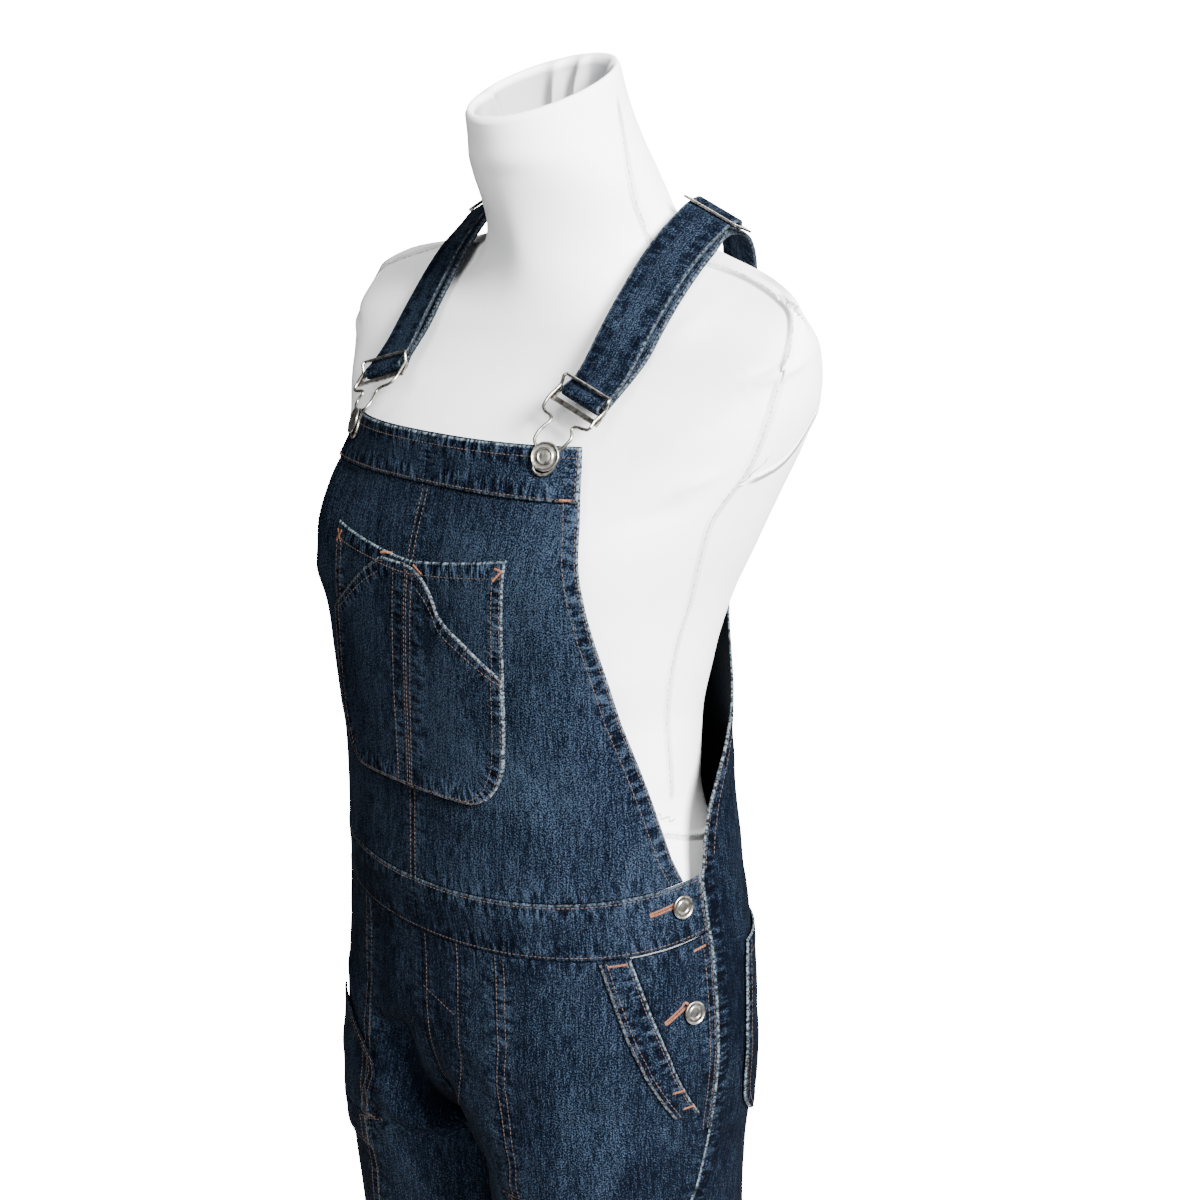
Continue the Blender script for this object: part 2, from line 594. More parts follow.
def denim(name, inside=False):
    """Washed twill: warp streaks, a speckled grain, pale worn edges and the
    light and dark puckers that lie along a sewn edge."""
    made, g, surface = new_material(name)
    place = g.node("ShaderNodeAttribute", attribute_name="cloth").outputs["Vector"]
    hem = g.node("ShaderNodeAttribute", attribute_name="hem").outputs["Vector"]
    parts = g.node("ShaderNodeSeparateXYZ", {0: hem}).outputs
    edge, run, weight = parts[0], parts[1], parts[2]
    fade = g.node("ShaderNodeAttribute", attribute_name="fade").outputs["Fac"]
    wash = g.node("ShaderNodeSeparateXYZ", {0: place}).outputs[2]
    streak = g.noise(place, (0.0010, 0.0110, 1.0), 2.5, 0.72)
    slub = g.noise(place, (0.0022, 0.0600, 1.0), 2.0, 0.55, shift=(3.0, 1.0, 0.0))
    grain = g.noise(place, (0.0010, 0.0011, 1.0), 2.0, 0.80, turn=(0.0, 0.0, 0.55))
    cloud = g.noise(place, (0.0450, 0.0900, 1.0), 2.0, 0.50, shift=(1.0, 7.0, 0.0))
    patch = g.noise(place, (0.0090, 0.0260, 1.0), 3.0, 0.60, shift=(5.0, 2.0, 0.0))
    total = g.sum("ADD", 0.43, wash)
    for part, lo, hi, share in ((streak, 0.37, 0.63, 0.50), (slub, 0.36, 0.64, 0.20),
                                (grain, 0.38, 0.62, 1.20), (cloud, 0.34, 0.66, 0.26),
                                (patch, 0.34, 0.66, 0.12)):
        total = g.sum("MULTIPLY_ADD", g.band(part, lo, hi, -0.5, 0.5), share, total)
    along = g.node("ShaderNodeCombineXYZ", {0: run, 1: edge, 2: 0.0}).outputs[0]
    pucker = g.noise(along, (0.0042, 0.0130, 1.0), 1.5, 0.50, turn=(0.0, 0.0, 0.30))
    zone = g.sum("MULTIPLY", g.band(edge, 0.0170, 0.0065), g.sum("MULTIPLY", weight, fade))
    ripple = g.band(pucker, 0.38, 0.62, -1.0, 1.0)
    total = g.sum("MULTIPLY_ADD", g.sum("MULTIPLY", zone, ripple), 0.44, total)
    groove = g.band(edge, 0.0011, 0.0003)
    total = g.sum("MULTIPLY_ADD", groove, -0.30, total)
    colour = g.blend(g.band(total, -0.10, 0.52), DARK, BLUE)
    colour = g.blend(g.band(total, 0.44, 1.20), colour, WORN)
    frayed = g.noise(place, (0.0022, 0.0022, 1.0), 2.0, 0.65, shift=(0.0, 4.0, 0.0))
    rub = g.sum("MULTIPLY", g.band(edge, 0.0021, 0.0006), g.band(frayed, 0.42, 0.60, 0.08, 1.0))
    rub = g.sum("MULTIPLY", rub, g.band(weight, 0.62, 1.0))
    colour = g.blend(g.sum("MULTIPLY", rub, 0.78), colour, PALE)
    if inside:
        colour = g.blend(g.band(g.sum("MULTIPLY_ADD", streak, 0.6, grain), 0.5, 1.1), INNER_DARK, INNER_PALE)
    join(g, colour, surface, "Base Color")
    surface.inputs["Roughness"].default_value = 0.88
    surface.inputs["Sheen Weight"].default_value = 0.0
    surface.inputs["Specular IOR Level"].default_value = 0.02
    weave = g.noise(place, (0.00085, 0.0011, 1.0), 1.0, 0.7)
    fine = g.sum("MULTIPLY_ADD", streak, 0.6, g.sum("MULTIPLY", weave, 0.8))
    first = g.node("ShaderNodeBump", {"Height": fine, "Strength": 0.6, "Distance": 0.0004})
    swell = g.sum("MULTIPLY", g.sum("SUBTRACT", pucker, 0.5), zone)
    second = g.node("ShaderNodeBump", {"Height": swell, "Strength": 1.0, "Distance": 0.0050,
                                       "Normal": first.outputs[0]})
    rumple = g.node("ShaderNodeBump", {"Height": patch, "Strength": 0.6, "Distance": 0.0020,
                                       "Normal": second.outputs[0]})
    join(g, rumple.outputs[0], surface, "Normal")
    return made


def thread(name, colour, dark):
    """Twisted sewing thread, each stitch a little lighter or darker."""
    made, g, surface = new_material(name)
    shade = g.node("ShaderNodeAttribute", attribute_name="shade").outputs["Fac"]
    where = g.node("ShaderNodeTexCoord").outputs["Object"]
    fuzz = g.noise(where, (0.0007, 0.0007, 0.0007), 2.0, 0.6)
    total = g.sum("MULTIPLY_ADD", g.sum("SUBTRACT", fuzz, 0.5), 0.8, shade)
    join(g, g.blend(g.band(total, 0.0, 1.0), dark, colour), surface, "Base Color")
    surface.inputs["Roughness"].default_value = 0.75
    bump = g.node("ShaderNodeBump", {"Height": fuzz, "Strength": 0.5, "Distance": 0.0003})
    join(g, bump.outputs[0], surface, "Normal")
    return made


def metal(name, colour, dark, rough, brushed):
    """Plated or rolled metal: a fine grain, dull in its hollows."""
    made, g, surface = new_material(name)
    where = g.node("ShaderNodeTexCoord").outputs["Object"]
    grain = g.noise(where, brushed, 3.0, 0.6)
    cloud = g.noise(where, (0.004, 0.004, 0.004), 3.0, 0.6)
    join(g, g.blend(g.band(cloud, 0.30, 0.62), dark, colour), surface, "Base Color")
    surface.inputs["Metallic"].default_value = 1.0
    spread = g.sum("MULTIPLY_ADD", g.sum("SUBTRACT", grain, 0.5), 0.30, rough)
    spread = g.sum("MULTIPLY_ADD", g.sum("SUBTRACT", cloud, 0.5), -0.20, spread)
    join(g, spread, surface, "Roughness")
    bump = g.node("ShaderNodeBump", {"Height": grain, "Strength": 0.25, "Distance": 0.0002})
    join(g, bump.outputs[0], surface, "Normal")
    return made


def jersey(name):
    """White knitted cover with thin sewn seams and a fine rib. The seam
    attribute holds the distance across the nearest seam, signed, and how
    much that seam counts."""
    made, g, surface = new_material(name)
    where = g.node("ShaderNodeTexCoord").outputs["Object"]
    line = g.node("ShaderNodeAttribute", attribute_name="seam").outputs["Vector"]
    parts = g.node("ShaderNodeSeparateXYZ", {0: line}).outputs
    off, near = g.sum("ABSOLUTE", parts[0]), parts[1]
    knit = g.noise(where, (0.0008, 0.0008, 0.0016), 1.0, 0.5)
    cloud = g.noise(where, (0.05, 0.05, 0.05), 2.0, 0.5)
    colour = g.blend(g.band(cloud, 0.3, 0.7), (0.830, 0.832, 0.835, 1.0), (0.880, 0.880, 0.878, 1.0))
    dashes = g.band(g.noise(where, (0.0016, 0.0016, 0.0016), 1.0, 0.5), 0.40, 0.60, 0.35, 1.0)
    mark = g.sum("MULTIPLY", g.sum("MULTIPLY", g.band(off, 0.0011, 0.0003), near), dashes)
    colour = g.blend(g.sum("MULTIPLY", mark, 0.95), colour, (0.26, 0.26, 0.28, 1.0))
    colour = g.blend(g.sum("MULTIPLY", parts[2], 0.9), colour, (0.26, 0.26, 0.27, 1.0))
    join(g, colour, surface, "Base Color")
    surface.inputs["Roughness"].default_value = 0.78
    surface.inputs["Sheen Weight"].default_value = 0.05
    first = g.node("ShaderNodeBump", {"Height": knit, "Strength": 0.18, "Distance": 0.0003})
    swell = g.sum("MULTIPLY", g.band(off, 0.0040, 0.0), near)
    second = g.node("ShaderNodeBump", {"Height": swell, "Strength": 1.0, "Distance": 0.0022,
                                       "Normal": first.outputs[0]})
    join(g, second.outputs[0], surface, "Normal")
    return made


LOOKS = {}


def make_looks():
    LOOKS["denim"] = denim("Washed denim")
    LOOKS["inside"] = denim("Denim inside", inside=True)
    LOOKS["rust"] = thread("Tobacco thread", (0.046, 0.024, 0.016, 1.0), (0.0080, 0.0060, 0.0060, 1.0))
    LOOKS["navy"] = thread("Navy thread", (0.0090, 0.0120, 0.0200, 1.0), (0.0015, 0.0022, 0.0040, 1.0))
    LOOKS["tack"] = thread("Orange tack thread", (0.185, 0.064, 0.025, 1.0), (0.070, 0.024, 0.011, 1.0))
    LOOKS["nickel"] = metal("Aged nickel", (0.360, 0.345, 0.312, 1.0), (0.095, 0.089, 0.078, 1.0), 0.34,
                            (0.0010, 0.0010, 0.0010))
    LOOKS["steel"] = metal("Satin steel", (0.640, 0.640, 0.645, 1.0), (0.500, 0.500, 0.505, 1.0), 0.36,
                           (0.0006, 0.02, 0.02))
    LOOKS["jersey"] = jersey("White jersey")


def in_scene(name, mesh, *looks):
    for look in looks:
        mesh.materials.append(LOOKS[look])
    made = bpy.data.objects.new(name, mesh)
    bpy.context.scene.collection.objects.link(made)
    return made


def offsets(length, near, far):
    """Lines across a piece as shares of its length: close together by each
    end, where the hem is, and even between."""
    near, far = np.array(near), np.array(far)
    scale = min(1.0, 0.42 * length / max(near[-1], far[-1], 1e-6))
    a, b = near * scale, length - far[::-1] * scale
    return a, b


def spread(length, near, far, count):
    a, b = offsets(length, near, far)
    middle = np.linspace(a[-1], b[0], count + 1)[1:-1]
    return np.concatenate([a, middle, b]) / length


HEM = (0.0, 0.0004, 0.0010, 0.0018, 0.0028, 0.0045, 0.0070, 0.0092, 0.0106, 0.0125, 0.0150)
FLAT = (0.0, 0.0005, 0.0012, 0.0024, 0.0050)
OUTER = []


def set_attribute(mesh, name, kind, values):
    data = mesh.attributes.new(name, kind, "POINT").data
    data.foreach_set("vector" if kind == "FLOAT_VECTOR" else "value",
                     np.asarray(values, np.float32).ravel())


def hem_height(edge, weight):
    """A folded hem stands up a little and rounds off at its edge."""
    lift = 0.00055 * (ease(0.0, 0.0014, edge) - ease(0.0105, 0.0128, edge)) - 0.0004 * (
        1 - ease(0.0, 0.0008, edge))
    rows = np.exp(-((edge - 0.0024) / 0.0008) ** 2) + np.exp(-((edge - 0.0098) / 0.0010) ** 2)
    return weight * lift - 0.00022 * rows * weight


def wash_at(face, near, z, turn, side):
    """How much lighter or darker the cloth is washed: pale over the bib and
    the thigh, dark round the sides, at the back and between the legs."""
    if face == "back":
        return -0.34 + 0.08 * ease(0.16, 0.08, near) * ease(0.80, 0.86, z)
    bib = 0.01 + 0.07 * ease(0.010, 0.060, near * turn) * ease(1.02, 1.10, z)
    thigh = -0.10 + 0.06 * np.exp(-((near - 0.120) / 0.060) ** 2 - ((z - 0.800) / 0.110) ** 2)
    outer = -0.12 * ease(0.140, 0.185, near) * ease(0.99, 0.96, z)
    crotch = -0.34 * ease(0.085, 0.020, near) * ease(0.880, 0.800, z)
    reach = 0.055 if side < 0 else 0.022
    crotch = crotch - 1.10 * ease(reach, 0.3 * reach, near) * ease(0.850, 0.805, z)
    far = -0.02 * ease(0.99, 0.94, z) if side < 0 else 0.0
    return np.where(z > 1.0, bib, thigh + outer + crotch + far)


class Panel:
    """One cut piece of cloth, laid on the form.

    ends gives the weight of the hem on its four sides: the centre side, the
    outer side, the first row and the last row. inner lists lines sewn
    across it, each a list of distances and heights with a weight.
    """

    def __init__(self, name, side, face, place, layer=0.0, step=0.0040, ends=(0.5, 0.5, 0.5, 0.5),
                 inner=(), rows=None, lift=0.0, fade=0.0):
        self.name, self.side, self.face, self.place = name, side, face, place
        self.layer, self.ends, self.inner, self.lift, self.fade = layer, ends, inner, lift, fade
        line = np.linspace(0, 1, 60)
        width = float(np.median(self.lengths(line, False)))
        height = float(np.median(self.lengths(line, True)))
        near, far, first, last = (HEM if weight > 0.6 else FLAT for weight in ends)
        self.v = rows if rows is not None else spread(height, first, last, max(2, int(height / step)))
        count = max(2, int(width / step))
        wide = self.row_widths()
        self.u = np.array([spread(w, near, far, count) for w in wide])
        self.build()

    def lengths(self, line, along_v):
        out = []
        for t in (0.1, 0.35, 0.6, 0.9):
            u, v = (np.full_like(line, t), line) if along_v else (line, np.full_like(line, t))
            s, z = self.place(u, v)
            p = spot(self.side, self.face, s, z)
            out.append(np.linalg.norm(np.diff(p, axis=0), axis=1).sum())
        return out

    def row_widths(self):
        line = np.linspace(0, 1, 24)
        u, v = np.meshgrid(line, self.v)
        s, z = self.place(u, v)
        p = spot(self.side, self.face, s, z)
        return np.maximum(np.linalg.norm(np.diff(p, axis=1), axis=2).sum(1), 0.004)

    def build(self):
        v = np.repeat(self.v[:, None], self.u.shape[1], axis=1)
        s, z = self.place(self.u, v)
        self.s, self.z = s, z
        at, out = cloth(self.side, self.face, s, z)
        edge, run, weight, fade = self.nearest(at)
        high = LAYER * self.layer + self.lift + hem_height(edge, weight)
        at = at + out * high[..., None]
        rows, cols = s.shape
        mesh = bpy.data.meshes.new(self.name)
        index = np.arange(rows * cols).reshape(rows, cols)
        quads = np.stack([index[:-1, :-1], index[:-1, 1:], index[1:, 1:], index[1:, :-1]], -1)
        quads = quads.reshape(-1, 4)
        a, b, c = (at.reshape(-1, 3)[quads[:, k]] for k in (0, 1, 2))
        facing = np.einsum("ij,ij->i", np.cross(b - a, c - a), out.reshape(-1, 3)[quads[:, 0]])
        if facing.sum() < 0:
            quads = quads[:, ::-1]
        mesh.from_pydata(at.reshape(-1, 3).tolist(), [], quads.tolist())
        turn = self.side * np.where(s < 0, -1.0, 1.0)
        warp, shift = np.abs(s), 0.0
        if self.face == "back":
            warp, shift = girth(z) - side_s(z) - np.abs(s), 0.7
        elif z.max() < 1.0:
            warp, shift = np.abs(s) - seam_s(np.minimum(z, 0.905)), 0.3
        wash = wash_at(self.face, np.abs(s), z, turn, self.side) + self.fade
        place = np.stack([warp * turn + shift + 0.013 * self.layer, z, wash], -1)
        set_attribute(mesh, "cloth", "FLOAT_VECTOR", place)
        set_attribute(mesh, "hem", "FLOAT_VECTOR", np.stack([edge, run, weight], -1))
        set_attribute(mesh, "fade", "FLOAT", fade)
        mesh.shade_smooth()
        self.made = in_scene(self.name, mesh, "denim", "inside")
        OUTER.append((at.reshape(-1, 3), quads))
        wall = self.made.modifiers.new("wall", "SOLIDIFY")
        wall.thickness = CLOTH
        wall.offset = -1.0
        wall.material_offset = 1
        wall.material_offset_rim = 0

    def nearest(self, at):
        """Distance to the nearest sewn edge or line, how far along it, its
        weight, and a share that fades out where two lines are as near."""
        lines = [(at[:, 0], self.ends[0]), (at[:, -1], self.ends[1]),
                 (at[0], self.ends[2]), (at[-1], self.ends[3])]
        for points, strength in self.inner:
            points = np.array(points)
            t = np.linspace(0, len(points) - 1, 80)
            s = np.interp(t, np.arange(len(points)), points[:, 0])
            z = np.interp(t, np.arange(len(points)), points[:, 1])
            lines.append((cloth(self.side, self.face, s, z)[0], strength))
        flat = at.reshape(-1, 3)
        found, start, step = [], 0.0, 0.0015
        for line, strength in lines:
            length = run_along(line)
            if length[-1] < 0.002:
                continue
            fine = np.arange(0.0, length[-1] + step, step)
            path = np.stack([np.interp(fine, length, line[:, k]) for k in range(3)], -1)
            way = unit(np.gradient(path, axis=0) + 1e-12)
            gap = (path**2).sum(1) - 2 * flat @ path.T
            i = np.argmin(gap, axis=1)
            off = flat - path[i]
            along = np.clip(np.einsum("ij,ij->i", off, way[i]), -step, step)
            off = np.linalg.norm(off - along[:, None] * way[i], axis=1)
            found.append((off, fine[i] + along + start, np.full(len(flat), strength)))
            start += length[-1] + 0.05
        found = np.array(found)
        order = np.argsort(found[:, 0], axis=0)
        each = np.arange(len(flat))
        edge, run, weight = (found[order[0], k, each] for k in range(3))
        fade = ease(0.001, 0.006, found[order[1], 0, each] - edge)
        return [v.reshape(at.shape[:2]) for v in (edge, run, weight, fade)]

    def row(self, edge, inset, lo=0.0, hi=1.0):
        """Distances and heights along one of the four sides, set in by
        inset metres: "centre", "outer", "first" or "last"."""
        if edge in ("centre", "outer"):
            v = np.linspace(lo, hi, 160)
            wide = np.interp(v, self.v, self.row_widths())
            u = inset / wide if edge == "centre" else 1 - inset / wide
        else:
            u = np.linspace(lo, hi, 160)
            high = float(np.median(self.lengths(np.linspace(0, 1, 60), True)))
            v = np.full_like(u, inset / high if edge == "first" else 1 - inset / high)
        s, z = self.place(u, v)
        return (self.side, self.face, s, z)


PANELS = {}


def add_panel(name, *args, **options):
    PANELS[name] = Panel(name, *args, **options)
    return PANELS[name]


def leg_lines(step_high, step_low, table):
    """Rows down a leg: closer above the knee, where they show."""
    heights = np.concatenate([np.arange(table[0], 0.74, -step_high), np.arange(0.74, HEM_Z, -step_low)])
    heights = np.concatenate([heights[:-1], [HEM_Z + 0.012, HEM_Z + 0.010, HEM_Z + 0.006,
                                            HEM_Z + 0.002, HEM_Z + 0.0008, HEM_Z]])
    heights = heights[(heights <= table[0]) & (np.concatenate([[1], -np.diff(heights)]) > 0)]
    shares = np.interp(-heights, -np.array(table), np.linspace(0, 1, len(table)))
    return np.unique(np.concatenate([[0.0, 0.0006, 0.0014, 0.003], shares, [1.0]]))


def make_front():
    for side, word in ((1, "left"), (-1, "right")):
        add_panel(f"bib_{word}", side, "front", bib_half, 0, 0.0036, (0.30, 1.0, 0.40, 0.5))
        add_panel(f"bib_band_{word}", side, "front", bib_band, 1, 0.0036, (0.5, 1.0, 0.75, 1.0))
        add_panel(f"waistband_front_{word}", side, "front", waist_half, 0, 0.0036, (0.5, 0.9, 0.66, 0.76),
                  lift=0.0004)
    add_panel("bib_pocket", 1, "front", pocket_half, 1, 0.0034, (1.0, 1.0, 1.0, 1.0))
    add_panel("tool_pocket_right", 1, "front", tool_right, 2, 0.0034, (0.62, 1.0, 1.0, 1.0))
    add_panel("tool_pocket_left", 1, "front", tool_left, 2, 0.0034, (0.72, 1.0, 1.0, 1.0),
              inner=[(((0.0062, 1.078), (0.0080, 1.226)), 0.6)])


FLY = ((0.0357, 0.970), (0.0356, 0.930), (0.0350, 0.884), (0.0320, 0.858), (0.0240, 0.842))


def make_legs():
    rows = leg_lines(0.0042, 0.0090, LEG_ROWS)
    for side, word in ((1, "left"), (-1, "right")):
        fly = [(FLY, 0.35)] if side > 0 else []
        add_panel(f"front_inner_{word}", side, "front", leg_inner, 0, 0.0042, (0.35, 0.5, 0.4, 0.65),
                  inner=fly, rows=rows)
        add_panel(f"front_outer_{word}", side, "front", leg_outer, 0, 0.0042, (0.75, 0.5, 0.4, 0.65),
                  rows=rows)
        outer = 0.82 if side > 0 else 0.61
        add_panel(f"pocket_side_{word}", side, "front", pocket_side, 0, 0.0036, (0.2, outer, 0.4, 0.6))
        band = (1.0, 1.0, 0.5, 0.7) if side > 0 else (0.61, 0.61, 0.5, 0.6)
        add_panel(f"pocket_band_{word}", side, "front", slant_band, 1.25, 0.0030, band)
        add_panel(f"back_pocket_{word}", side, "back", back_pocket, 1.4, 0.0045, (1.0, 1.0, 1.0, 1.0))
        back_rows = leg_lines(0.0060, 0.0100, BACK_ROWS)
        add_panel(f"back_{word}", side, "back", back_half, 0, 0.0060, (0.6, 0.95, 1.0, 0.65),
                  rows=back_rows)
    add_panel("thigh_pocket_right", -1, "front", thigh_patch, 1.4, 0.0040, (0.66, 0.6, 0.6, 0.66))


def unit_rows(path, closed=False):
    """Direction along a line at each point."""
    if closed:
        return unit(np.roll(path, -1, 0) - np.roll(path, 1, 0))
    return unit(np.gradient(path, axis=0))


def smooth_path(points, step, closed=False):
    """Points every step metres on a smooth line through the given ones."""
    points = np.array(points, float)
    if closed:
        points = np.concatenate([points[-3:], points, points[:3]])
    run = np.concatenate([[0.0], np.cumsum(np.linalg.norm(np.diff(points, axis=0), axis=1) ** 0.5)])
    slope = np.gradient(points, run, axis=0)
    fine = np.linspace(run[0], run[-1], 40 * len(points))
    i = np.clip(np.searchsorted(run, fine) - 1, 0, len(run) - 2)
    h = (run[i + 1] - run[i])[:, None]
    q = ((fine - run[i])[:, None]) / h
    line = hermite(q, points[i], points[i + 1], h, slope[i], slope[i + 1])
    if closed:
        keep = (fine >= run[3]) & (fine <= run[-3] + 1e-9)
        line = line[keep]
    length = run_along(line)
    count = max(4, int(length[-1] / step))
    even = np.linspace(0, length[-1], count, endpoint=not closed)
    return np.stack([np.interp(even, length, line[:, k]) for k in range(3)], -1)


def skin(name, rings, look, closed=False, smooth=True):
    """Mesh over rings of equal size; open ends are capped."""
    rings = np.array(rings)
    turns, count = rings.shape[:2]
    faces = []
    for a in range(turns if closed else turns - 1):
        b = (a + 1) % turns
        for k in range(count):
            j = (k + 1) % count
            faces.append((a * count + k, a * count + j, b * count + j, b * count + k))
    if not closed:
        faces.append(tuple(range(count))[::-1])
        faces.append(tuple((turns - 1) * count + k for k in range(count)))
    mesh = bpy.data.meshes.new(name)
    mesh.from_pydata(rings.reshape(-1, 3).tolist(), [], faces)
    fix = bmesh.new()
    fix.from_mesh(mesh)
    bmesh.ops.recalc_face_normals(fix, faces=fix.faces)
    fix.to_mesh(mesh)
    fix.free()
    if smooth:
        mesh.shade_smooth()
    return in_scene(name, mesh, look)


def strap_frames():
    rows = np.array(STRAP_LINE)
    end, out = cloth(1, "back", np.array(0.0460), np.array(BACK_TOP + 0.0008))
    rows[-1, :3] = end + out * 0.0050
    run = run_along(rows[:, :3])
    fine = np.linspace(0.0, run[-1], 45)
    slope = np.gradient(rows, run, axis=0)
    i = np.clip(np.searchsorted(run, fine) - 1, 0, len(run) - 2)
    h = (run[i + 1] - run[i])[:, None]
    q = ((fine - run[i])[:, None]) / h
    line = hermite(q, rows[i], rows[i + 1], h, slope[i], slope[i + 1])
    along = unit(np.gradient(line[:, :3], fine, axis=0))
    turn, drop = np.radians(line[:, 3]), np.radians(line[:, 4])
    wide = np.stack([np.cos(turn) * np.cos(drop), np.sin(turn) * np.cos(drop), -np.sin(drop)], -1)
    wide = unit(wide - along * np.einsum("ij,ij->i", wide, along)[:, None])
    outs = np.cross(wide, along)
    return fine, line[:, :3] - outs * 0.0050, along, wide, outs


FRAMES = strap_frames()


def strap_at(t, h):
    """Point, along, width and outward at distance t from the buckle bar and
    height h over the line that the strap rests on."""
    runs, at, along, wide, out = FRAMES
    if t < 0:
        return at[0] + along[0] * t + out[0] * h, along[0], wide[0], out[0]
    point, a, w, o = [np.array([np.interp(t, runs, table[:, k]) for k in range(3)])
                      for table in (at, along, wide, out)]
    return point + unit(o) * h, unit(a), unit(w), unit(o)


def strap_path():
    """Distance and height of the strap's middle, from its sewn end at the
    shoulder slider, down to the buckle, round its bar and back up."""
    total = FRAMES[0][-1]
    slide, loop_h = SLIDER_AT, 0.0068
    path = [(slide - 0.0130, loop_h - LOOP - 0.0002), (slide - 0.0060, loop_h - LOOP)]
    for deg in (-90, -50, -10, 30, 65, 90):
        a = math.radians(deg)
        path.append((slide + LOOP * math.cos(a), loop_h + LOOP * math.sin(a)))
    path += [(slide - 0.0060, loop_h + 0.0020), (slide - 0.0140, 0.0070),
             (slide - 0.0210, 0.0052), (slide - 0.0300, 0.0042)]
    path += [(t, 0.0041) for t in (0.110, 0.092, 0.074, 0.056, 0.040, 0.028)]
    path += [(0.018, 0.0044), (0.011, 0.0050), (0.005, 0.0058)]
    for deg in (90, 125, 160, 200, 235, 270):
        a = math.radians(deg)
        path.append((LOOP * math.cos(a), BAR_H + LOOP * math.sin(a)))
    path += [(0.006, 0.0012), (0.014, 0.0014)]
    path += [(t, 0.0016) for t in (0.026, 0.040, 0.056, 0.074, 0.092, 0.110, 0.126, 0.140, 0.152)]
    steps = int((total - 0.164) / 0.013)
    path += [(0.164 + (total - 0.164) * k / steps, mix(0.0016, 0.0010, k / steps))
             for k in range(steps + 1)]
    return path


STRAP_ROWS = (0.0026, 0.0094)
# how far the lower layer lies to the side of the upper one
LOWER_ASIDE = {"left": 0.0050, "right": -0.0070}
STRAPS = {}


def strap_height(edge):
    """Both long edges are turned under and sewn, so the middle lies lower."""
    swell = 0.00035 * ease(0.0, 0.0012, edge) - 0.00055 * ease(0.0095, 0.0130, edge)
    rows = np.exp(-((edge - STRAP_ROWS[0]) / 0.0008) ** 2) + np.exp(-((edge - STRAP_ROWS[1]) / 0.0009) ** 2)
    return swell - 0.00018 * rows - 0.0005 * (1 - ease(0.0, 0.0009, edge))


def make_strap(side, word):
    centres, wides = [], []
    for t, h in strap_path():
        at, _, wide, _ = strap_at(t, h)
        aside = LOWER_ASIDE[word] * (ease(0.014, 0.040, t) - ease(0.120, 0.150, t)) if h < 0.0025 else 0.0
        centres.append(at + wide * aside)
        wides.append(wide)
    centres = np.array(centres)
    fine = smooth_path(centres, 0.0026)
    length = run_along(centres)
    run = run_along(fine)
    share = run / run[-1] * length[-1]
    wide = unit(np.stack([np.interp(share, length, np.array(wides)[:, k]) for k in range(3)], -1))
    along = unit_rows(fine)
    wide = unit(wide - along * np.einsum("ij,ij->i", wide, along)[:, None])
    out = np.cross(wide, along)
    half = STRAP_WIDE / 2
    inset = np.array([0.0, 0.0003, 0.0009, 0.0017, 0.0026, 0.0036, 0.0058, 0.0080, 0.0094, 0.0108,
                      0.0130, 0.0158])
    across = np.concatenate([-half + inset, half - inset[::-1]])
    edge = half - np.abs(across)
    bulge = strap_height(edge)
    wobble = 0.00008 * np.sin(run * 900 + 3 * np.sin(run * 170))
    rings = []
    for k, at in enumerate(fine):
        high = STRAP_THICK / 2 + bulge + wobble[k] * np.exp(-((edge - 0.006) / 0.003) ** 2)
        top = at + wide[k] * across[:, None] + out[k] * high[:, None]
        low = at + wide[k] * across[:, None] - out[k] * (STRAP_THICK / 2 - 0.0004 * (edge < 0.0002))[:, None]
        rings.append(np.concatenate([top, low[::-1]]))
    rings = np.array(rings)
    rings[..., 0] *= side
    made = skin(f"strap_{word}", rings, "denim")
    mesh = made.data
    both = np.concatenate([across, across[::-1] + 0.05])
    both_edge = np.concatenate([edge, edge[::-1]])
    runs = np.repeat(run[:, None], len(both), axis=1)
    cross = np.repeat(both[None], len(run), axis=0)
    zero = np.zeros_like(cross)
    edges = np.repeat(both_edge[None], len(run), axis=0)
    wash = -0.12 + 0.20 * ease(0.0092, 0.0130, edges)
    set_attribute(mesh, "cloth", "FLOAT_VECTOR", np.stack([cross + 2 + side * 0.2, runs, wash], -1))
    set_attribute(mesh, "fade", "FLOAT", zero + 0.60)
    set_attribute(mesh, "hem", "FLOAT_VECTOR",
                  np.stack([edges, runs + np.where(cross > 0, 0.37, 0.0), zero + 0.82], -1))
    OUTER.append((rings.reshape(-1, 3), None))
    STRAPS[word] = {"made": made, "line": fine, "wide": wide, "out": out, "side": side, "run": run}
    return made


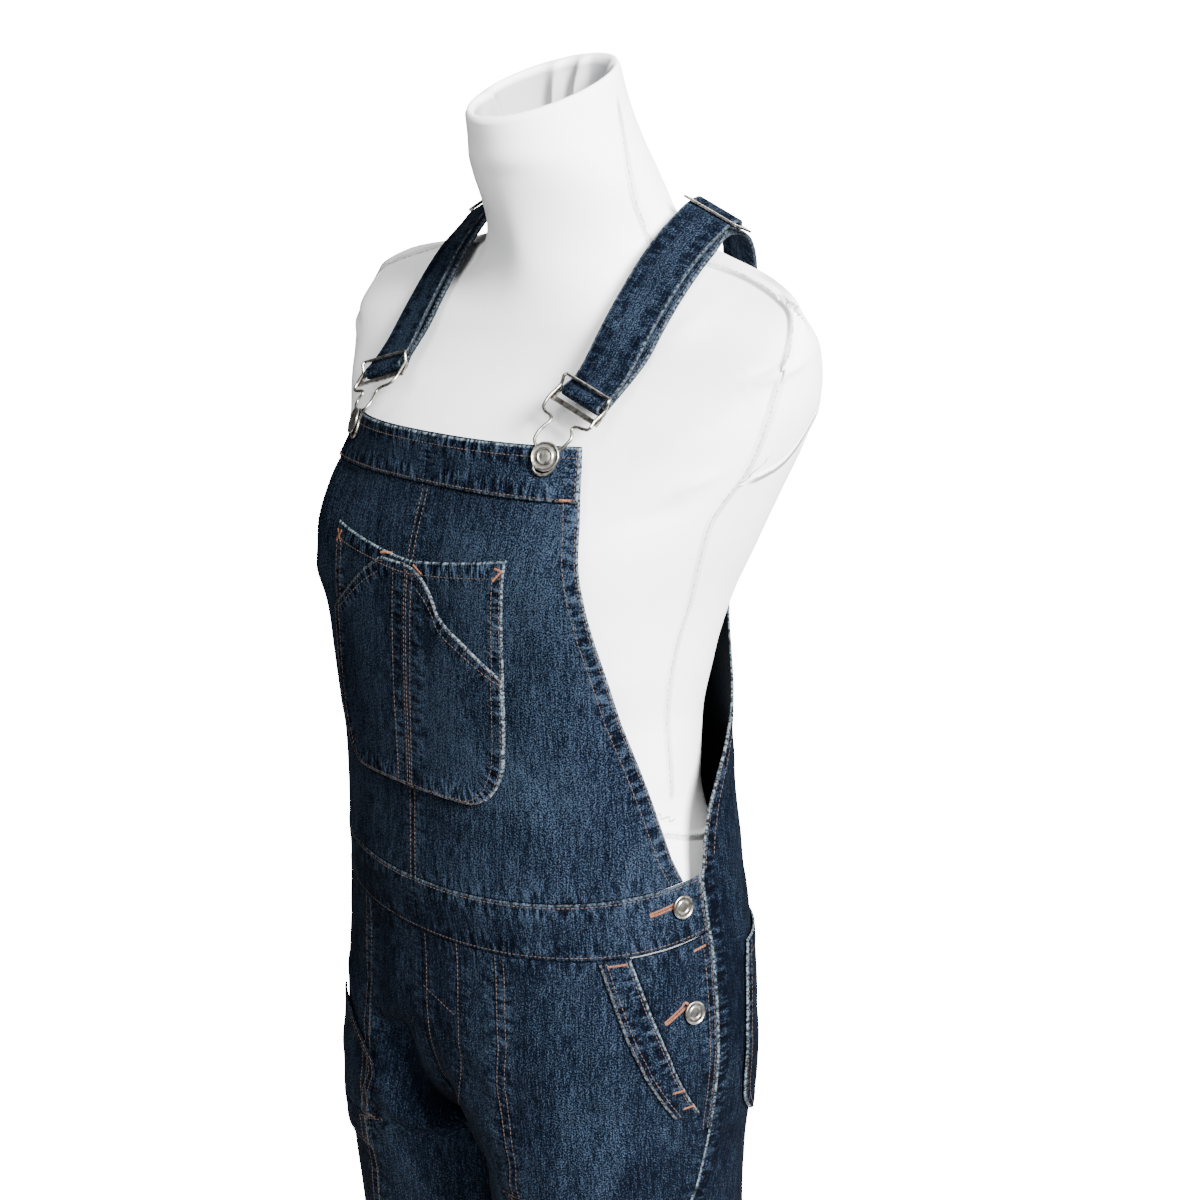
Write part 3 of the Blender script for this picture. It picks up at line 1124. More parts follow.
def tube(name, points, radius, side, closed=True, count=10, step=0.0010, look="nickel"):
    """Round wire along a smooth line."""
    path = smooth_path(points, step, closed)
    along = unit_rows(path, closed)
    up = np.array([0.3, -0.8, 0.5])
    rings = []
    for k in range(len(path)):
        up = unit(up - along[k] * up.dot(along[k]))
        across = np.cross(along[k], up)
        q = np.linspace(0, 2 * math.pi, count, endpoint=False)[:, None]
        rings.append(path[k] + radius * (np.cos(q) * up + np.sin(q) * across))
    rings = np.array(rings)
    if closed:
        first, last = rings[0], rings[-1]
        gaps = [np.linalg.norm(np.roll(first, s, 0) - last, axis=1).sum() for s in range(count)]
        turn = int(np.argmin(gaps))
        part = turn if turn <= count / 2 else turn - count
        twisted = []
        for k in range(len(path)):
            up_k = unit(rings[k][0] - path[k])
            across = np.cross(along[k], up_k)
            q = np.linspace(0, 2 * math.pi, count, endpoint=False)[:, None]
            q = q - 2 * math.pi * part / count * k / len(path)
            twisted.append(path[k] + radius * (np.cos(q) * up_k + np.sin(q) * across))
        rings = np.array(twisted)
    rings[..., 0] *= side
    return skin(name, rings, look, closed)


def button_spot():
    at, out = cloth(1, "front", np.array(0.0975), np.array(1.3045))
    return at + out * LAYER, out


def hook_path():
    bar, along, wide, outer = strap_at(0.0, BAR_H)
    button, out = button_spot()
    up_bib = unit(np.array([0.0, -out[2], out[1]]))
    if up_bib[2] < 0:
        up_bib = -up_bib
    over = WIRE / 2 + 0.0006
    knee = button + up_bib * 0.0100 + out * over
    foot = bar - along * 0.0105 + outer * (0.0006 + 0.0003 + WIRE / 2)
    flat = unit(np.cross(np.array([0.0, 0.0, 1.0]), out))
    if flat[0] < 0:
        flat = -flat

    def spine(a, w):
        share = min(max((a - 0.0040) / 0.0280, 0.0), 1.0)
        aside = unit(mix(flat, wide, share)) * w
        if a <= 0.0100:
            return button + up_bib * a + out * over + aside
        return mix(knee, foot, (a - 0.0100) / 0.0250) + aside

    shape = ((0.0225, 0.0350), (0.0226, 0.0315), (0.0212, 0.0285), (0.0175, 0.0268),
             (0.0130, 0.0262), (0.0100, 0.0248), (0.0092, 0.0225), (0.0108, 0.0190),
             (0.0120, 0.0150), (0.0112, 0.0100), (0.0082, 0.0055), (0.0066, 0.0010),
             (0.0070, -0.0040), (0.0062, -0.0078), (0.0035, -0.0104))
    lower = [spine(a, w) for w, a in shape] + [spine(-0.0112, 0.0)]
    lower += [spine(a, -w) for w, a in shape][::-1]
    upper = []
    for t, h in ((-0.0050, 0.0012), (0.0000, 0.0012), (0.0035, 0.0030), (0.0058, 0.0046)):
        at, _, w, _ = strap_at(t, BAR_H + h + WIRE / 2 - 0.0003)
        upper.append(at - w * 0.0225)
    corner = strap_at(0.0072, BAR_H + 0.0054)[0]
    top = [corner - wide * w for w in (0.0216, 0.0196, 0.0100, 0.0, -0.0100, -0.0196, -0.0216)]
    back = [p + 2 * wide * 0.0225 for p in upper][::-1]
    return lower + upper + top + back


def plate(name, at, wide, along, out, outer, holes, thick, side, look="nickel", edge=0.0003):
    """Flat plate with openings and rounded edges; shapes are lists of
    distance across and distance along."""
    mesh = bmesh.new()
    loops = []
    for shape in [outer, *holes]:
        ring = [mesh.verts.new(at + wide * w + along * a) for w, a in shape]
        for k in range(len(ring)):
            mesh.edges.new((ring[k], ring[(k + 1) % len(ring)]))
        loops.append(ring)
    bmesh.ops.triangle_fill(mesh, use_beauty=True, edges=mesh.edges, normal=Vector(out))
    bmesh.ops.dissolve_limit(mesh, angle_limit=0.01, verts=mesh.verts, edges=mesh.edges)
    bmesh.ops.translate(mesh, verts=mesh.verts, vec=Vector(-out * thick / 2))
    faces = list(mesh.faces)
    grown = bmesh.ops.extrude_face_region(mesh, geom=faces)
    moved = [g for g in grown["geom"] if isinstance(g, bmesh.types.BMVert)]
    bmesh.ops.translate(mesh, verts=moved, vec=Vector(out * thick))
    bmesh.ops.triangulate(mesh, faces=mesh.faces)
    for vert in mesh.verts:
        vert.co.x *= side
    bmesh.ops.recalc_face_normals(mesh, faces=mesh.faces)
    data = bpy.data.meshes.new(name)
    mesh.to_mesh(data)
    mesh.free()
    made = in_scene(name, data, look)
    round_off = made.modifiers.new("round", "BEVEL")
    round_off.width = edge
    round_off.segments = 2
    round_off.limit_method = "ANGLE"
    round_off.angle_limit = math.radians(50)
    return made


def corners(low_w, high_w, low, high, r, count=4):
    """Outline with rounded corners, wider at low if low_w is larger."""
    shape = []
    for cx, cy, start in ((-low_w + r, low + r, 180), (low_w - r, low + r, 270),
                          (high_w - r, high - r, 0), (-high_w + r, high - r, 90)):
        for k in range(count + 1):
            q = math.radians(start + 90 * k / count)
            shape.append((cx + r * math.cos(q), cy + r * math.sin(q)))
    return shape


def turned(name, at, out, profile, side, look, count=48):
    """Round body turned about out; profile lists radius and height."""
    out = unit(out)
    first = unit(np.cross(out, np.array([0.0, 0.0, 1.0])))
    second = np.cross(out, first)
    q = np.linspace(0, 2 * math.pi, count, endpoint=False)[:, None]
    rings = [at + out * h + max(r, 0.00002) * (np.cos(q) * first + np.sin(q) * second)
             for r, h in profile]
    rings = np.array(rings)
    rings[..., 0] *= side
    return skin(name, rings, look)


def button_rings(r, gap, stem):
    """Cap with a raised rim, two fine rings and a domed middle."""
    t = gap
    return ((0.0, 0.0003), (stem, 0.0003), (stem, t), (r * 0.90, t + 0.0001), (r * 0.97, t + 0.0003),
            (r, t + 0.0008), (r * 0.985, t + 0.0014), (r * 0.94, t + 0.0018), (r * 0.89, t + 0.0017),
            (r * 0.85, t + 0.0013), (r * 0.80, t + 0.0012), (r * 0.62, t + 0.0012),
            (r * 0.58, t + 0.0013), (r * 0.545, t + 0.0017), (r * 0.50, t + 0.0018),
            (r * 0.46, t + 0.0016), (r * 0.43, t + 0.0012), (r * 0.38, t + 0.00125),
            (r * 0.20, t + 0.0014), (0.0, t + 0.00145))


METAL = {}


def make_metal():
    for side, word in ((1, "left"), (-1, "right")):
        METAL[f"hook_{word}"] = tube(f"hook_{word}", hook_path(), WIRE / 2, side)
        bar, along, wide, outer = strap_at(0.0, BAR_H)
        shape = corners(0.0250, 0.0228, -0.0110, 0.0011, 0.0012)
        hole = corners(0.0203, 0.0203, -0.0075, -0.0011, 0.0009)[::-1]
        METAL[f"buckle_{word}"] = plate(f"buckle_{word}", bar, wide, along, outer, shape, [hole],
                                        0.0012, side)
        (front, *_), (middle, _, wide, _), (rear, *_) = [
            strap_at(SLIDER_AT + t, h) for t, h in ((-0.0085, 0.0112), (0.0, 0.0068), (0.0085, 0.0044))]
        along = unit(front - rear)
        up = unit(np.cross(wide, along))
        up = up if up[2] > 0 else -up
        length = np.linalg.norm(front - rear) / 2
        r, reach = WIRE / 2, STRAP_WIDE / 2 + 0.0024
        shape = corners(reach + 2 * r, reach + 2 * r, -length - r, length + r, 0.0016)
        holes = [corners(reach, reach, lo, hi, 0.0006)[::-1]
                 for lo, hi in ((-length + r, -r), (r, length - r))]
        METAL[f"slider_{word}"] = plate(f"slider_{word}", middle, wide, along, up, shape, holes,
                                        1.4 * r, side)
        at, out = button_spot()
        METAL[f"bib_button_{word}"] = turned(f"bib_button_{word}", at, out,
                                             button_rings(BIB_BUTTON, WIRE + 0.0012, 0.0038), side, "nickel")
        for tag, s, z in (("upper", 0.2010, 1.0080), ("lower", 0.2072, 0.9360)):
            at, out = cloth(1, "front", np.array(s), np.array(z))
            METAL[f"side_button_{tag}_{word}"] = turned(
                f"side_button_{tag}_{word}", at + out * 0.0003, out,
                button_rings(SIDE_BUTTON, 0.0012, 0.0034), side, "nickel")


def stitch_tree():
    """A stitch at even steps along each line of the mesh."""
    tree = bpy.data.node_groups.new("Stitch row", "GeometryNodeTree")
    face = tree.interface
    face.new_socket("Geometry", in_out="OUTPUT", socket_type="NodeSocketGeometry")
    face.new_socket("Geometry", in_out="INPUT", socket_type="NodeSocketGeometry")
    for name, value in (("Pitch", 0.0031), ("Length", 0.0026), ("Width", 0.0008), ("Height", 0.0006),
                        ("Turn", 0.0)):
        face.new_socket(name, in_out="INPUT", socket_type="NodeSocketFloat").default_value = value
    face.new_socket("Thread", in_out="INPUT", socket_type="NodeSocketMaterial")
    g = Graph(tree)
    given = g.node("NodeGroupInput").outputs
    line = g.node("GeometryNodeMeshToCurve", {0: given["Geometry"]})
    points = g.node("GeometryNodeCurveToPoints", {"Curve": line.outputs[0], "Length": given["Pitch"]},
                    mode="LENGTH")
    out = g.node("GeometryNodeInputNamedAttribute", {"Name": "out"}, data_type="FLOAT_VECTOR")
    upright = g.node("FunctionNodeAlignRotationToVector", {"Vector": out.outputs[0]}, axis="Z")
    lying = g.node("FunctionNodeAlignRotationToVector",
                   {"Rotation": upright.outputs[0], "Vector": points.outputs["Tangent"]},
                   axis="X", pivot_axis="Z")
    wander = g.node("FunctionNodeRandomValue", {2: -0.10, 3: 0.10, "Seed": 5}, data_type="FLOAT")
    angle = g.node("ShaderNodeMath", {0: wander.outputs[1], 1: given["Turn"]}, operation="ADD")
    spin = g.node("ShaderNodeCombineXYZ", {2: angle.outputs[0]})
    spun = g.node("FunctionNodeRotateRotation", {0: lying.outputs[0], 1: spin.outputs[0]},
                  rotation_space="LOCAL")
    ball = g.node("GeometryNodeMeshUVSphere", {"Segments": 6, "Rings": 4, "Radius": 0.5})
    size = g.node("ShaderNodeCombineXYZ", {0: given["Length"], 1: given["Width"], 2: given["Height"]})
    vary = g.node("FunctionNodeRandomValue", {2: 0.88, 3: 1.10, "Seed": 9}, data_type="FLOAT")
    scale = g.node("ShaderNodeVectorMath", {0: size.outputs[0], "Scale": vary.outputs[1]},
                   operation="SCALE")
    placed = g.node("GeometryNodeInstanceOnPoints",
                    {"Points": points.outputs[0], "Instance": ball.outputs[0],
                     "Rotation": spun.outputs[0], "Scale": scale.outputs[0]})
    tone = g.node("FunctionNodeRandomValue", {2: 0.15, 3: 0.95, "Seed": 2}, data_type="FLOAT")
    kept = g.node("GeometryNodeStoreNamedAttribute",
                  {"Geometry": placed.outputs[0], "Name": "shade", "Value": tone.outputs[1]},
                  data_type="FLOAT", domain="INSTANCE")
    real = g.node("GeometryNodeRealizeInstances", {0: kept.outputs[0]})
    smooth = g.node("GeometryNodeSetShadeSmooth", {0: real.outputs[0]})
    dyed = g.node("GeometryNodeSetMaterial", {"Geometry": smooth.outputs[0],
                                              "Material": given["Thread"]})
    g.node("NodeGroupOutput", {0: dyed.outputs[0]})
    return tree


SURFACE = {}


def top_surface():
    """Tree of all the cloth's outer faces, for laying stitches on them."""
    verts, faces = [], []
    base = 0
    for at, quads in OUTER:
        if quads is None:
            continue
        verts.extend(at.tolist())
        faces.extend((quads + base).tolist())
        base += len(at)
    return BVHTree.FromPolygons(verts, faces)


def laid(side, face, s, z):
    """Points of a stitch row on the topmost cloth, and the way out of it."""
    at, out = cloth(side, face, np.asarray(s, float), np.asarray(z, float))
    tree = SURFACE["tree"]
    points, outs = [], []
    for p, o in zip(at, out):
        hit, normal, _, _ = tree.ray_cast(Vector(p + o * 0.012), Vector(-o), 0.020)
        if hit is None:
            points.append(p + o * 0.0003)
            outs.append(o)
        else:
            n = np.array(normal)
            n = n if n.dot(o) > 0 else -n
            points.append(np.array(hit))
            outs.append(unit(n * 0.6 + o * 0.4))
    return np.array(points), np.array(outs)


def sew(name, rows, look="rust", pitch=None, length=0.0027, width=0.0008, height=0.0006, turn=0.0):
    """Stitches along rows of points, made by the stitch tree."""
    pitch = pitch or bpy.context.scene.overalls_sizes.stitch_pitch
    verts, edges, outs = [], [], []
    for points, out in rows:
        start = len(verts)
        verts.extend(points.tolist())
        outs.extend(out.tolist())
        edges.extend((start + k, start + k + 1) for k in range(len(points) - 1))
    mesh = bpy.data.meshes.new(name + " rows")
    mesh.from_pydata(verts, edges, [])
    set_attribute(mesh, "out", "FLOAT_VECTOR", outs)
    guide = bpy.data.objects.new(name + " rows", mesh)
    bpy.context.scene.collection.objects.link(guide)
    tree = SURFACE["stitch"]
    made = guide.modifiers.new("stitches", "NODES")
    made.node_group = tree
    values = {"Pitch": pitch, "Length": length, "Width": width, "Height": height, "Turn": turn,
              "Thread": LOOKS[look]}
    for item in tree.interface.items_tree:
        if item.in_out == "INPUT" and item.name in values:
            made[item.identifier] = values[item.name]
    graph = bpy.context.evaluated_depsgraph_get()
    plain = bpy.data.meshes.new_from_object(guide.evaluated_get(graph))
    plain.name = name
    done = bpy.data.objects.new(name, plain)
    bpy.context.scene.collection.objects.link(done)
    bpy.data.objects.remove(guide)
    return done


def line_row(side, face, points, count=60):
    """A row along a short list of distances and heights."""
    points = np.array(points, float)
    t = np.linspace(0, len(points) - 1, count)
    s = np.interp(t, np.arange(len(points)), points[:, 0])
    z = np.interp(t, np.arange(len(points)), points[:, 1])
    return laid(side, face, s, z)


def panel_row(name, edge, inset, lo=0.0, hi=1.0):
    return laid(*PANELS[name].row(edge, inset, lo, hi))


SEWN = {}
BODY = {}


# Stitch rows: name, then groups of panel words and the rows that each word
# gets, as panel, side of it, distance in, and the part of it that is sewn.
SIDES = ("left", "right")
SEWING = (
    ("stitches_bib", (
        (SIDES, (("bib", "outer", 0.0026, 0.0, 0.885), ("bib", "outer", 0.0105, 0.0, 0.885),
                 ("bib", "centre", 0.0024, 0.0, 0.885))),
        (SIDES, (("bib_band", "last", 0.0068, 0.0, 0.99), ("bib_band", "first", 0.0020, 0.0, 0.99),
                 ("bib_band", "outer", 0.0024, 0.05, 0.97))),
    ), ()),
    ("stitches_pocket", (
        (("pocket",), (("bib", "centre", 0.0024, 0.05, 0.97), ("bib", "outer", 0.0024, 0.05, 0.97),
                       ("bib", "last", 0.0024, 0.0, 1.0), ("bib", "centre", 0.0085, 0.05, 0.97),
                       ("bib", "outer", 0.0085, 0.05, 0.97), ("bib", "last", 0.0085, 0.0, 1.0),
                       ("bib", "first", 0.0085, 0.02, 0.98))),
        (("right",), (("tool_pocket", "last", 0.0026, 0.26, 0.98),
                      ("tool_pocket", "last", 0.0092, 0.32, 0.96))),
        (("left",), (("tool_pocket", "last", 0.0026, 0.12, 0.98),
                     ("tool_pocket", "last", 0.0092, 0.18, 0.96))),
    ), (
        (((-0.0098, 1.080), (-0.0112, 1.150), (-0.0120, 1.222)), 60),
        (((0.0040, 1.080), (0.0062, 1.150), (0.0075, 1.222)), 60),
        (((-0.0002, 1.080), (0.0002, 1.150), (0.0004, 1.226)), 60),
    )),
    ("stitches_waist", (
        (SIDES, (("waistband_front", "last", 0.0026, 0.0, 0.99),
                 ("waistband_front", "first", 0.0024, 0.0, 0.99),
                 ("waistband_front", "outer", 0.0026, 0.05, 0.95))),
    ), ()),
    ("stitches_legs", (
        (SIDES, (("front_outer", "centre", 0.0016, 0.01, 0.995),
                 ("front_outer", "centre", 0.0080, 0.01, 0.995),
                 ("front_inner", "last", 0.0125, 0.0, 1.0), ("front_outer", "last", 0.0125, 0.0, 1.0),
                 ("pocket_band", "centre", 0.0018, 0.01, 0.98),
                 ("pocket_band", "centre", 0.0052, 0.01, 0.98),
                 ("pocket_band", "outer", 0.0030, 0.01, 0.98),
                 ("pocket_side", "outer", 0.0026, 0.01, 0.98),
                 ("pocket_side", "outer", 0.0072, 0.01, 0.98))),
    ), (
        (FLY, 90), (((0.0020, 0.9290), (0.0310, 0.9180)), 60),
        (((0.0045, 0.968), (0.0045, 0.900), (0.0045, 0.806)), 90),
    )),
    ("stitches_back", (
        (SIDES, (("back", "outer", 0.0026, 0.0, 0.34), ("back", "outer", 0.0105, 0.0, 0.33),
                 ("back", "first", 0.0070, 0.0, 0.98), ("back", "centre", 0.0024, 0.01, 0.62),
                 ("back", "last", 0.0125, 0.0, 1.0))),
        (SIDES, tuple(("back_pocket", edge, inset, 0.03, 0.97) for inset in (0.0024, 0.0085)
                      for edge in ("centre", "outer", "last"))
         + (("back_pocket", "first", 0.0110, 0.02, 0.98),)),
        (("right",), tuple(("thigh_pocket", edge, *row) for edge in ("centre", "first", "last")
                           for row in ((0.0024, 0.02, 0.98), (0.0080, 0.06, 0.96)))),
    ), ()),
)


def make_stitches():
    SURFACE["tree"] = top_surface()
    SURFACE["stitch"] = stitch_tree()
    for name, groups, lines in SEWING:
        rows = [panel_row(f"{start}_{word}", *place) for words, table in groups
                for word in words for start, *place in table]
        rows += [line_row(1, "front", line, count) for line, count in lines]
        SEWN[name] = sew(name, rows)
    make_strap_stitches()
    make_tacks()


def make_strap_stitches():
    rows = []
    for strap in STRAPS.values():
        for inset in STRAP_ROWS:
            for turn in (-1, 1):
                off = turn * (STRAP_WIDE / 2 - inset)
                high = STRAP_THICK / 2 + float(strap_height(np.array(inset))) + 0.0002
                at = strap["line"] + strap["wide"] * off + strap["out"] * high
                out = strap["out"].copy()
                at[:, 0] *= strap["side"]
                out[:, 0] *= strap["side"]
                rows.append((at[3:-2], out[3:-2]))
    SEWN["stitches_strap"] = sew("stitches_strap", rows, look="navy")


# Bar tacks and buttonholes in orange thread: side, face, then distance and
# height of both ends.
TACKS = (
    (+1, "front", -0.0850, 1.2285, -0.0790, 1.2360), (+1, "front", -0.0850, 1.2360, -0.0790, 1.2285),
    (+1, "front", 0.0785, 1.2285, 0.0845, 1.2350), (+1, "front", 0.0790, 1.2360, 0.0850, 1.2350),
    (+1, "front", -0.0290, 1.2300, -0.0180, 1.2315), (+1, "front", 0.0060, 1.2275, 0.0150, 1.2230),
    (+1, "front", 0.1120, 1.2800, 0.1190, 1.2800), (-1, "front", 0.1120, 1.2800, 0.1190, 1.2800),
    (+1, "front", 0.2080, 0.9760, 0.2180, 0.9775), (-1, "front", 0.2080, 0.9760, 0.2180, 0.9775),
)


def make_tacks():
    rows = [line_row(side, face, ((s0, z0), (s1, z1)), 12) for side, face, s0, z0, s1, z1 in TACKS]
    for word in ("left", "right"):
        rows.append(panel_row(f"pocket_band_{word}", "first", 0.0030, 0.25, 0.85))
        for lo in (0.80, 0.93):
            panel = PANELS[f"pocket_band_{word}"]
            s, z = panel.place(np.linspace(0.55, 0.98, 14), np.full(14, lo))
            rows.append(laid(panel.side, panel.face, s, z))
    SEWN["tacks"] = sew("tacks", rows, look="tack", pitch=0.00055, length=0.0021, width=0.0006,
                        height=0.0007, turn=math.pi / 2 - 0.25)
    rows = []
    for side in (1, -1):
        for s0, z0, s1, z1 in ((0.1784, 1.0060, 0.1945, 1.0095), (0.1871, 0.9320, 0.1990, 0.9400)):
            way = unit(np.array([s1 - s0, z1 - z0]))
            across = np.array([-way[1], way[0]])
            a, b = np.array([s0, z0]), np.array([s1, z1])
            loop = [a + across * 0.0009, b + across * 0.0011, b + way * 0.003 + across * 0.0022,
                    b + way * 0.0045, b + way * 0.003 - across * 0.0022, b - across * 0.0011,
                    a - across * 0.0009, a - way * 0.0006, a + across * 0.0009]
            rows.append(line_row(side, "front", loop, 110))
    SEWN["buttonholes"] = sew("buttonholes", rows, look="tack", pitch=0.00060, length=0.0021,
                              width=0.0007, height=0.0008, turn=math.pi / 2)


def form_value(z):
    table = np.array(FORM)
    return [curve_through(z, table[:, 0], table[:, k]) for k in range(1, 7)]


def form_point(q, z):
    """Point of the form's cover at turn q and height z before the neck tips."""
    wide, front, back, middle, n, forward = form_value(z)
    c, s = np.cos(q), np.sin(q)
    deep = np.where(s < 0, front, back)
    x = wide * power(c, 2 / n)
    y = middle + deep * power(s, 2 / n) - forward * np.abs(power(c, 2 / n)) ** 4
    tip = np.interp(z, (1.468, 1.524), (0.0, 0.42))
    return np.stack([x, y, z + tip * y], -1)


# Sewn lines of the cover on the wearer's left: turn in degrees and height.
FORM_SEAMS = (
    ((17.5, 1.518), (9.5, 1.501), (-11.0, 1.469), (-21.0, 1.442), (-38.0, 1.421), (-28.0, 1.420),
     (-21.5, 1.414), (-16.0, 1.403), (-10.0, 1.394), (-10.5, 1.379), (-12.0, 1.360), (-13.0, 1.345),
     (-10.0, 1.304), (-13.0, 1.281), (-14.0, 1.268), (-10.0, 1.241), (-6.0, 1.211), (-6.0, 1.193),
     (-5.5, 1.155), (-4.0, 1.120), (-1.5, 1.089), (0.0, 1.063)),
    ((-16.0, 1.403), (0.0, 1.396), (24.0, 1.392), (30.0, 1.370), (20.0, 1.330), (4.0, 1.300),
     (-10.0, 1.290)),
    ((-90.0, 1.049), (-30.0, 1.050), (-5.0, 1.048), (3.5, 1.042), (18.0, 1.036), (90.0, 1.034)),
    ((90.0, 0.850), (90.0, 1.200), (90.0, 1.520)),
)
# Soft pulls in the cover: turn, height, turn, height, half width, height.
FORM_PULLS = (
    (-26, 1.352, 2, 1.368, 0.0036, 0.0030), (-28, 1.358, -9, 1.371, 0.0034, -0.0028),
    (-34, 1.285, -20, 1.301, 0.0040, 0.0022), (-42, 1.262, -24, 1.282, 0.0060, -0.0024),
    (-52, 1.300, -20, 1.338, 0.0100, 0.0026), (-60, 1.360, -36, 1.396, 0.0110, 0.0024),
    (-154, 1.352, -182, 1.368, 0.0032, 0.0012), (-152, 1.358, -171, 1.371, 0.0030, -0.0012),
    (-146, 1.285, -160, 1.301, 0.0036, 0.0009), (-130, 1.300, -160, 1.338, 0.0100, 0.0012),
    (40, 1.300, 10, 1.350, 0.0070, 0.0014), (140, 1.300, 170, 1.350, 0.0070, 0.0014),
)


COVER_TURNS = 288
RIM_RINGS = 3
# turn, width and depth of the cloth's pleats inside the neck
NECK_PLEATS = (
    (2.18, 0.11, 0.009), (1.74, 0.10, 0.008), (3.36, 0.13, 0.011), (0.90, 0.13, 0.005),
    (4.70, 0.12, 0.006),
)
# rings over the rim and down the neck: share of the rim's size, height over
# the rim and how much of the pleats shows
NECK_RINGS = (
    (0.975, 0.0026, 0.05), (0.94, 0.0030, 0.15), (0.90, 0.0010, 0.35), (0.875, -0.0030, 0.55),
    (0.86, -0.0090, 0.8), (0.85, -0.0160, 1.0), (0.83, -0.0230, 1.0), (0.78, -0.0310, 1.0),
    (0.72, -0.0380, 0.9), (0.60, -0.0430, 0.6), (0.35, -0.0450, 0.2), (0.02, -0.0450, 0.0),
)


def make_form():
    heights = np.concatenate([np.array([0.845, 0.8455, 0.847, 0.8495]), np.arange(0.853, 1.020, 0.0062),
                              np.arange(1.020, 1.270, 0.0030), np.arange(1.270, 1.524, 0.0021), [1.524]])
    count = COVER_TURNS
    turn = np.linspace(0, 2 * math.pi, count, endpoint=False)
    q, z = np.meshgrid(turn, heights)
    at = form_point(q, z)
    up = form_point(q, z + 0.002) - form_point(q, z - 0.002)
    round_way = form_point(q + 0.01, z) - form_point(q - 0.01, z)
    out = np.cross(round_way, up)
    out /= np.maximum(np.linalg.norm(out, axis=-1, keepdims=True), 1e-9)
    at = ease_neck(at)
    for q0, z0, q1, z1, wide, high in FORM_PULLS:
        t = np.linspace(0, 1, 30)
        line = form_point(np.radians(mix(q0, q1, t)), mix(z0, z1, t))
        near = np.full(q.shape, 9.0)
        share = np.zeros(q.shape)
        for k, p in enumerate(line):
            d = np.linalg.norm(at - p, axis=-1)
            share = np.where(d < near, t[k], share)
            near = np.minimum(near, d)
        fade = np.sin(np.pi * np.clip(share, 0.06, 0.94))
        at = at + out * (high * fade * np.exp(-(near / wide) ** 2))[..., None]
    rim = at[-1]
    middle = rim.mean(axis=0)
    bottom = at[0].mean(axis=0)
    rings = [bottom + (at[0] - bottom) * share for share in (0.02, 0.4, 0.8)] + list(at)
    pleat = np.zeros(count)
    for middle_turn, wide, deep in NECK_PLEATS:
        pleat = pleat + deep * np.exp(-((turn - middle_turn) / wide) ** 2)
    for share, drop, fold in NECK_RINGS:
        ring = middle + (rim - middle) * share + np.array([0.0, 0.0, drop])
        inward = unit(middle - ring) * (pleat * fold)[:, None]
        rings.append(ring + inward)
    BODY["dress_form"] = skin("dress_form", rings, "jersey")
    inner = RIM_RINGS * count
    mark_seams(BODY["dress_form"], len(at) * count + 3 * count, inner)


def ease_neck(at):
    """Let the front of the neck run softly into the chest."""
    x, y, z = np.abs(at[..., 0]), at[..., 1], at[..., 2]
    share = (ease(0.080, 0.050, x) * ease(0.050, 0.022, y) * ease(1.378, 1.400, z)
             * ease(1.472, 1.452, z))[..., None]
    for _ in range(220):
        level = (np.roll(at, 1, 1) + np.roll(at, -1, 1)) / 4
        level[1:-1] += (at[2:] + at[:-2]) / 4
        level[0], level[-1] = at[0], at[-1]
        at = at + (level - at) * share * 0.8
    return at


def mark_seams(made, cover, rim):
    """Store how far each point lies across the nearest seam and how much
    that seam counts. The first points, as many as cover, are the outside;
    rim points follow, and the rest line the neck."""
    points, ways, counts = [], [], []
    for line in FORM_SEAMS:
        line = np.array(line, float)
        for mirror in (False, True):
            t = np.linspace(0, len(line) - 1, 60 * len(line))
            deg = np.interp(t, np.arange(len(line)), line[:, 0])
            high = np.interp(t, np.arange(len(line)), line[:, 1])
            path = form_point(np.radians(180 - deg if mirror else deg), high)
            if len(line) > 3:
                near = np.pad(path, ((22, 22), (0, 0)), mode="edge")
                path = np.stack([np.convolve(near[:, k], np.ones(45) / 45, "valid") for k in range(3)], -1)
            points.append(path)
            ways.append(unit(np.gradient(path, axis=0) + 1e-12))
            ends = np.minimum(*(np.linalg.norm(path - path[k], axis=1) for k in (0, -1)))
            counts.append(ease(0.001, 0.010, ends))
    points, ways, counts = (np.concatenate(v) for v in (points, ways, counts))
    tree = KDTree(len(points))
    for k, p in enumerate(points):
        tree.insert(p, k)
    tree.balance()
    data = np.zeros((len(made.data.vertices), 3))
    for k, v in enumerate(made.data.vertices):
        _, i, d = tree.find(v.co)
        side = np.cross(ways[i], np.array(v.normal)).dot(np.array(v.co) - points[i])
        data[k] = (math.copysign(min(d, 0.02), side), counts[i] if d < 0.012 and k < cover else 0.0,
                   1.0 if k >= cover + rim else 0.0)
    set_attribute(made.data, "seam", "FLOAT_VECTOR", data)


def make_stand():
    base = ((0.0, 0.0), (0.187, 0.0), (0.1893, 0.0004), (0.190, 0.0013), (0.190, 0.0086),
            (0.1893, 0.0096), (0.187, 0.0100), (0.120, 0.0100), (0.0, 0.0100))
    upright = np.array([0.0, 0.0001, 1.0])
    BODY["stand_base"] = turned("stand_base", np.zeros(3), upright, base, 1, "steel", 128)
    foot, head = 0.0103, 0.8447
    pole = ((0.0, foot), (0.0232, foot), (0.0240, foot + 0.0008), (0.0240, foot + 0.0050),
            (0.0232, foot + 0.0060), (0.0150, foot + 0.0085), (0.0125, foot + 0.0120),
            (0.0125, 0.400), (0.0125, head - 0.0045), (0.0190, head - 0.0040),
            (0.0200, head - 0.0030), (0.0200, head), (0.0, head))
    at = np.array([POLE_X, 0.010, 0.0])
    BODY["stand_pole"] = turned("stand_pole", at, upright, pole, 1, "steel")


